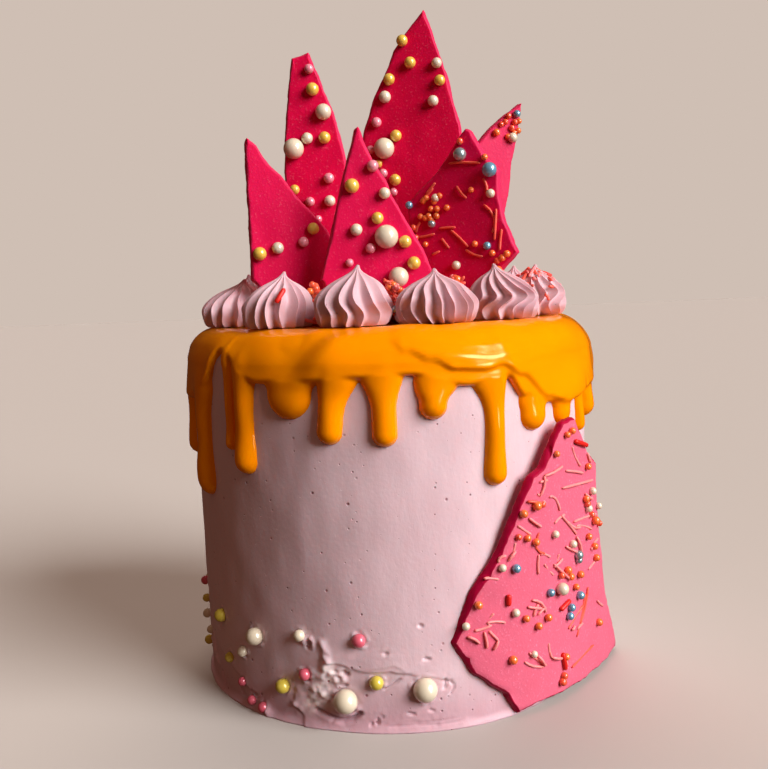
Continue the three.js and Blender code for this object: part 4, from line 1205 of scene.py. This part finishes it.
# The nonpareils
# Tiny balls of layered sugar, 2 to 3 mm, orange with a pearl shine, coral or white.
BEAD_SUNK = 0.3  # how far its centre stands out of a shard, as a share of its diameter
BEAD_MESH = (7, 12)  # rows and columns
# The cluster on the dark shard: all of one size, with their centres this far out of the face
DARK_CLUSTER = {"centre": (-8, 43), "reach": (9, 7), "count": 17, "out": 0.8, "diameter": 2.5}
# On each shard, of each kind: across, up, diameter
NONPAREILS = {
    "shard_dark": {
        "orange": [
            (14, 62, 2.6), (8, 50, 2.4), (9, 29, 2.6), (-12, 30, 2.4), (16, 25, 2.6), (20, 23, 2.8),
            (22, 24.5, 2.8),
        ],
        "coral": [(4, 69, 2.7), (18, 22, 2.6), (-16, 33, 2.4), (-17, 37, 2.6)],
    },
    "shard_far_right": {
        "orange": [(21, 82, 2.4), (10, 77, 3.2), (20.5, 78, 2.6), (15.5, 75.5, 2.4), (18.5, 77, 2.4)],
        "coral": [(16, 84, 2.6), (19, 81.5, 2.6), (17.5, 79, 2.6), (14.5, 81.5, 2.6), (12.5, 80.5, 2.4)],
    },
    "side_shard": {
        "orange": [
            (-16, 76, 3.4), (-22, 74, 3), (22, 63, 3.4), (-20, 65, 2.6), (-16, 63, 2.8), (17, 58, 2.6),
            (22, 53, 2.8), (24, 48, 2.8), (2, 49, 3), (4, 46, 2.8), (11, 45, 2.8), (8, 41, 2.6),
            (-9, 34, 2.8), (-20, 36, 2.6), (-14, 32, 2.8), (-41, 44, 3), (-26, 22, 3.2), (2, 16, 2.8),
            (28, 21, 3), (3, 100, 2.6), (0, 99, 2.4), (-6, 93, 2.4), (15, 85, 2.6), (14, 73, 2.6),
        ],
        "coral": [
            (15, 71, 2.6), (-13, 76, 2.4), (-24, 66, 2.4), (19, 66, 2.4), (26, 61, 2.4), (-2, 48, 2.6),
            (1, 9, 2.8), (0, 7, 3),
        ],
    },
}
# Those that rolled between the swirls: azimuth and radius of the middle, height and reach
BEAD_SPILLS = [(-33, 49, 16, 2), (-20, 50, 15, 3), (3, 51, 15, 4), (31, 50, 16, 3), (62, 50, 18.5, 4)]
BEADS_IN_SPILL = 8
NONPAREIL_KINDS = {"orange": "#fa7c3c", "coral": "#f4603f", "white": "#f6dcd2"}


def nonpareil_finish(name, colour):
    """Layered sugar with a pearl glaze: a bright small highlight over a soft body."""
    finish, _ = new_finish(name, colour, {
        "Roughness": 0.32,
        "IOR": 1.5,
        "Subsurface Weight": 0.15,
        "Subsurface Radius": (1.0, 0.5, 0.3),
        "Subsurface Scale": 0.001,
        "Coat Weight": 0.8,
        "Coat Roughness": 0.14,
    })
    return finish


bead_random = np.random.default_rng(51)
nonpareils = {kind: [] for kind in NONPAREIL_KINDS}
for kind, spot, diameter in balls_on_shards(NONPAREILS, BEAD_SUNK):
    nonpareils[kind].append((spot, diameter))
cluster = bead_random.normal(size=(DARK_CLUSTER["count"], 2)) * 0.42 * DARK_CLUSTER["reach"]
for across, up in DARK_CLUSTER["centre"] + cluster:
    spot = over_shard("shard_dark", [(across, up, DARK_CLUSTER["out"])])[0]
    nonpareils["orange"].append((spot, DARK_CLUSTER["diameter"]))
for azimuth, radius, height, reach in BEAD_SPILLS:
    for i in range(BEADS_IN_SPILL):
        aside = bead_random.normal(size=2) * 0.5 * reach
        level = height * math.exp(-((math.hypot(*aside) / (1.4 * reach)) ** 2))
        spot = around(azimuth, radius, CAKE_HEIGHT + level) + (*aside, 0)
        nonpareils[("orange", "coral")[i % 2]].append((spot, bead_random.uniform(2.3, 3.1)))
for i in range(BED_BEADS):
    share = 0.99 * math.sqrt(bead_random.uniform())
    height = CAKE_HEIGHT + bed_height(share) + bead_random.uniform(-0.4, 1.2)
    kind = ("orange", "orange", "coral", "orange", "white")[i % 5]
    spot = around(bead_random.uniform(0, 360), BED_RADIUS * share, height)
    nonpareils[kind].append((spot, bead_random.uniform(2.1, 2.9)))
for kind, colour in NONPAREIL_KINDS.items():
    centres, diameters = zip(*nonpareils[kind])
    bead_finish = nonpareil_finish(f"{kind} nonpareil", colour)
    make_piece(f"nonpareils_{kind}", *balls(centres, diameters, *BEAD_MESH), bead_finish, "sprinkles")

# The sugar strands
# Thin sticks pressed from coloured sugar paste, 6 to 14 mm long, many of them bent.
STRAND_THICKNESS = 1.25
THIN_STRAND = 1.05
THICK_STRAND = 1.9
# On the dark shard and the side shard: the ends, or the ends and a middle, as (across, up)
DARK_STRANDS = [
    [(-1, 61), (12, 60)], [(2, 52), (4, 49), (6, 47)], [(-8, 52), (-14, 47)], [(13, 54), (14, 48)],
    [(13, 44), (17, 38), (16, 33)], [(-1, 35), (6, 28)], [(-5, 32), (-2, 28)], [(-15, 33), (-8, 34)],
    [(-6, 36), (1, 36)], [(-9, 26), (-6, 27)], [(5, 27), (8, 25), (12, 24)], [(-14, 39), (-16, 35)],
    [(-7, 54), (-11, 50)], [(18, 42), (17, 30)], [(20, 34), (19, 26)],
]
SIDE_STRANDS = [
    [(4, 94), (10, 86)], [(15, 90), (18, 86)], [(0, 86), (12, 83)], [(-2, 80), (20, 79)],
    [(-12, 86), (-2, 88)], [(-14, 84), (-10, 84)], [(-12, 86), (-14, 79)], [(-15, 80), (-11, 76)],
    [(-9, 78), (-5, 77), (-3, 72)], [(-20, 78), (-12, 76)], [(-19, 72), (-13, 68)], [(-24, 70), (-18, 66)],
    [(-6, 68), (0, 70)], [(-2, 70), (8, 61)], [(2, 67), (11, 63)], [(6, 66), (24, 65)], [(8, 64), (20, 60)],
    [(-14, 66), (-15, 61), (-11, 58)], [(-13, 58), (-8, 56)], [(-14, 58), (-14, 51)], [(-25, 64), (-26, 59)],
    [(-28, 58), (-25, 61)], [(-32, 58), (-29, 60)], [(-6, 52), (-1, 54)], [(-3, 56), (-4, 50)],
    [(-11, 54), (-6, 49)], [(-6, 53), (4, 45)], [(1, 58), (9, 54)], [(8, 60), (12, 52)],
    [(18, 38), (16, 31), (12, 25)], [(16, 36), (10, 21)], [(14, 32), (4, 26)],
    [(-17, 42), (-12, 40), (-10, 36)],
    [(-19, 40), (-12, 38)], [(-14, 40), (-16, 36)], [(-10, 38), (-14, 36)], [(-38, 53), (-32, 52)],
    [(-34, 40), (-36, 36)], [(-42, 35), (-35, 36)], [(-37, 37), (-29, 36)], [(-38, 34), (-37, 28)],
    [(-36, 34), (-32, 30)], [(-32, 30), (-34, 27)], [(-20, 20), (-10, 16)], [(-18, 23), (-9, 16)],
    [(-14, 21), (-10, 16)], [(-8, 24), (-6, 18)], [(-6, 18), (0, 16)], [(24, 13), (7, 10)],
    [(8, 26), (6, 25)], [(2, 17), (4, 12)], [(14, 25), (10, 24)], [(18, 45), (25, 47)], [(20, 52), (26, 55)],
    [(27, 30), (33, 26)], [(14, 75), (20, 72)], [(-45, 33), (-40, 30)],
]
SIDE_CORAL = (9, 17, 29, 30, 31, 48)  # the places in that list of the deeper coloured ones
RED_STRANDS = [[(5, 96), (14, 93)], [(-28, 46), (-28, 42)], [(-2, 35), (4, 37)], [(0, 18), (2, 11)]]
# Strands that fell on the swirls: azimuth, radius and height over the glaze of each end, and
# thickness
SWIRL_STRANDS = [
    ((-33.8, 69.6, 9.4), (-32.6, 66.4, 14.2), THICK_STRAND),
    ((79, 62, 17.5), (80, 68, 15.5), STRAND_THICKNESS),
]
# Heaps that spilled between the swirls: azimuth and radius of the middle, height, reach, strands
SPILLS = [
    (-58, 49, 12, 6, 30), (-26, 50, 14, 6, 50), (3, 50, 16.5, 7, 90), (31, 50, 16.5, 6.5, 70),
    (62, 50, 19, 7, 90), (95, 50, 15, 6, 40),
]
STREWN_SWIRL = 6  # the swirl that strands fell all over, and how many
STREWN = 44
STRAND_KINDS = {"coral": "#f0604c", "peach": "#ff9090", "red": "#dc2218"}
SPILLED_KINDS = ("coral", "coral", "peach")  # in turn, of the spilled and the strewn ones
BED_KINDS = ("coral", "coral", "peach", "coral", "red")


def strand_tubes(paths, thickness):
    """Round sticks along arcs through three points each. The rings' radius closes in a quarter round
    at both ends."""
    starts, middles, ends = np.asarray(paths, float).transpose(1, 0, 2)[:, :, None, :]
    share = np.array([0, 0.06, 0.2, 0.5, 0.8, 0.94, 1.0])[None, :, None]
    girth = np.array([0.5, 0.92, 1, 1, 1, 0.92, 0.5])[None, :, None, None]
    pull = 2 * middles - (starts + ends) / 2
    line = starts * (1 - share) ** 2 + 2 * pull * share * (1 - share) + ends * share**2
    along = np.gradient(line, axis=1)
    along /= np.linalg.norm(along, axis=-1, keepdims=True)
    side = np.cross(along, (0.31, 0.52, 0.79))
    side /= np.linalg.norm(side, axis=-1, keepdims=True)
    over = np.cross(side, along)
    turn = np.linspace(0, 2 * math.pi, 7, endpoint=False)[None, None, :, None]
    spokes = np.cos(turn) * side[:, :, None] + np.sin(turn) * over[:, :, None]
    rings = line[:, :, None] - spokes * girth * np.reshape(thickness, (-1, 1, 1, 1)) / 2
    count = len(line)
    points = np.concatenate([rings.reshape(count, -1, 3), line[:, :1], line[:, -1:]], axis=1)
    return points.reshape(-1, 3), copies(ring_faces([7] * 7), count, points.shape[1])


def with_middle(path):
    """A path of two or three points as three."""
    path = [np.asarray(point, float) for point in path]
    return path if len(path) == 3 else [path[0], (path[0] + path[1]) / 2, path[1]]


def lying(node, path, out):
    """A path on a shard, with its middle, at one distance out of the face."""
    return over_shard(node, [(*point, out) for point in with_middle(path)])


strand_random = np.random.default_rng(61)
strands = {kind: [] for kind in STRAND_KINDS}


def add_strand(kind, path, amount, thickness=STRAND_THICKNESS):
    """Keeps a strand for its colour's piece, with its middle pushed aside a little."""
    start, middle, end = with_middle(path)
    strands[kind].append(([start, middle + strand_random.normal(size=3) * amount, end], thickness))


for path in DARK_STRANDS:
    add_strand("coral", lying("shard_dark", path, 0.45), 0.3, THIN_STRAND)
for number, path in enumerate(SIDE_STRANDS):
    kind = "coral" if number in SIDE_CORAL else "peach"
    add_strand(kind, lying("side_shard", path, 0.3), 0.45, THIN_STRAND)
for path in RED_STRANDS:  # these aren't pushed aside
    strands["red"].append((lying("side_shard", path, 0.6), THICK_STRAND))
for *ends, thickness in SWIRL_STRANDS:
    ends = [around(azimuth, radius, CAKE_HEIGHT + height) for azimuth, radius, height in ends]
    add_strand("red", ends, 0.4, thickness)
for azimuth, radius, height, reach, count in SPILLS:
    for i in range(count):
        aside = strand_random.normal(size=2) * 0.42 * reach
        level = height * math.exp(-((math.hypot(*aside) / reach) ** 2)) * strand_random.uniform(0.35, 1)
        middle = around(azimuth, radius, CAKE_HEIGHT + level) + (*aside, 0)
        step = strand_random.normal(size=3) * (1.7, 1.7, 0.9)
        add_strand(SPILLED_KINDS[i % 3], [middle - step, middle + step], 0.3)
azimuth, swirl_radius, swirl_height = SWIRLS[STREWN_SWIRL - 1][:3]
profile_across, profile_up = np.array(SWIRL_PROFILE).T
swirl_foot = around(azimuth, SWIRL_RING_RADIUS, 0)
for i in range(STREWN):
    up = 0.3 + 0.62 * strand_random.uniform() ** 0.7
    turn = strand_random.uniform(-80, 280)
    out = swirl_radius * np.interp(up, profile_up, profile_across) + 0.2
    level = CAKE_HEIGHT + swirl_height * up
    aside = strand_random.uniform(-1, 1) * 2.2 * 60 / max(out, 3)
    rise = strand_random.uniform(-1.8, 1.8)
    end_up = up + np.array([-1, 1]) * rise / swirl_height
    end_out = np.interp(end_up, profile_up, profile_across) * swirl_radius + 0.3
    ends = [
        swirl_foot + around(turn - aside, end_out[0], level - rise),
        swirl_foot + around(turn + aside, end_out[1], level + rise),
    ]
    add_strand(SPILLED_KINDS[i % 3], ends, 0.2)
for i in range(BED_STRANDS):
    share = 0.98 * math.sqrt(strand_random.uniform())
    azimuth = strand_random.uniform(0, 360)
    lift = strand_random.uniform(-0.5, 1.6)
    middle = around(azimuth, BED_RADIUS * share, CAKE_HEIGHT + bed_height(share) + lift)
    heading = strand_random.uniform(0, 2 * math.pi)
    half = strand_random.uniform(2.6, 4.6)
    step = half * np.array([math.cos(heading), math.sin(heading), strand_random.normal() * 0.16])
    ends = [middle - step, middle + step]
    shares = [min(math.hypot(*end[:2]) / BED_RADIUS, 1.05) for end in ends]
    for end, end_share in zip(ends, shares):
        end[2] = max(end[2], CAKE_HEIGHT + bed_height(end_share) - 0.4) if end_share < 1 else end[2] - 1
    add_strand(BED_KINDS[i % 5], ends, 0.35)


def strand_finish(name, colour):
    """Pressed sugar paste: matt, a little see-through at its thin ends."""
    finish, _ = new_finish(name, colour, {
        "Roughness": 0.45,
        "IOR": 1.5,
        "Subsurface Weight": 0.25,
        "Subsurface Radius": (1.0, 0.5, 0.35),
        "Subsurface Scale": 0.0012,
    })
    return finish


for kind, colour in STRAND_KINDS.items():
    tubes = strand_tubes(*zip(*strands[kind]))
    make_piece(f"strands_{kind}", *tubes, strand_finish(f"{kind} sugar strand", colour), "sprinkles")

# The floor and the light
# A plain pale floor, a large soft window light from the right and a little in front, a weak ceiling
# and back light, and a dim warm room. The panes, which are smaller, are what shiny things mirror.
FLOOR_HALF = 6000.0
floor_mesh = bpy.data.meshes.new("floor")
corners = [(x * FLOOR_HALF * MM, y * FLOOR_HALF * MM, 0) for x, y in ((-1, -1), (1, -1), (1, 1), (-1, 1))]
floor_mesh.from_pydata(corners, [], [(0, 1, 2, 3)])
floor_finish, _ = new_finish("pale floor", "#bebbb6", {"Roughness": 0.8, "Specular IOR Level": 0.0})
floor_mesh.materials.append(floor_finish)
floor = bpy.data.objects.new("floor", floor_mesh)
bpy.context.scene.collection.objects.link(floor)
floor.visible_diffuse = False  # so that the room alone lights the shadows
floor.visible_glossy = False  # so that the glaze doesn't mirror it


def soft_sun(name, azimuth, elevation, spread, strength, colour, lights=True, mirrored=True):
    """Light from one broad part of the room, the same all over the floor. It lights things, or is
    mirrored in shiny ones, or both."""
    lamp = bpy.data.lights.new(name, "SUN")
    lamp.angle = math.radians(spread)
    lamp.energy = strength
    lamp.color = linear(colour)[:3]
    holder = bpy.data.objects.new(name, lamp)
    bpy.context.scene.collection.objects.link(holder)
    holder.visible_diffuse = lights
    holder.visible_glossy = mirrored
    turn = Matrix.Rotation(math.radians(azimuth), 4, "Z")
    holder.matrix_world = turn @ Matrix.Rotation(math.radians(90 - elevation), 4, "X")


soft_sun("window", 57, 27, 40, 5.2, "#fff8f6", mirrored=False)
soft_sun("window panes", 56, 27, 25, 4.2, "#ffffff", lights=False)
soft_sun("upper pane", 74, 43, 5, 0.2, "#ffffff", lights=False)
soft_sun("low window", 54, 3, 14, 0.8, "#ffffff", lights=False)
soft_sun("ceiling", -25, 58, 60, 0.15, "#ffc4a4", mirrored=False)
soft_sun("back light", 178, 38, 50, 1.7, "#ffe9dc", mirrored=False)
world = bpy.data.worlds.new("room")
world.use_nodes = True
room_light = world.node_tree.nodes["Background"]
room_light.inputs["Color"].default_value = linear("#ffb898")
room_light.inputs["Strength"].default_value = 0.11
backdrop = add_node(world, "ShaderNodeBackground", {"Color": linear("#cfbfb4"), "Strength": 1.0})
seen = add_node(world, "ShaderNodeLightPath", {}).outputs["Is Camera Ray"]
mirrored_room = add_node(world, "ShaderNodeBackground", {"Color": linear("#c08058"), "Strength": 0.08})
in_mirror = add_node(world, "ShaderNodeLightPath", {}).outputs["Is Glossy Ray"]
unseen = add_node(world, "ShaderNodeMixShader", {
    0: in_mirror, 1: room_light.outputs["Background"], 2: mirrored_room.outputs["Background"],
})
both = add_node(world, "ShaderNodeMixShader", {
    0: seen, 1: unseen.outputs["Shader"], 2: backdrop.outputs["Background"],
})
surface = world.node_tree.nodes["World Output"].inputs["Surface"]
world.node_tree.links.new(both.outputs["Shader"], surface)
bpy.context.scene.world = world
bpy.context.scene.view_settings.view_transform = "Standard"
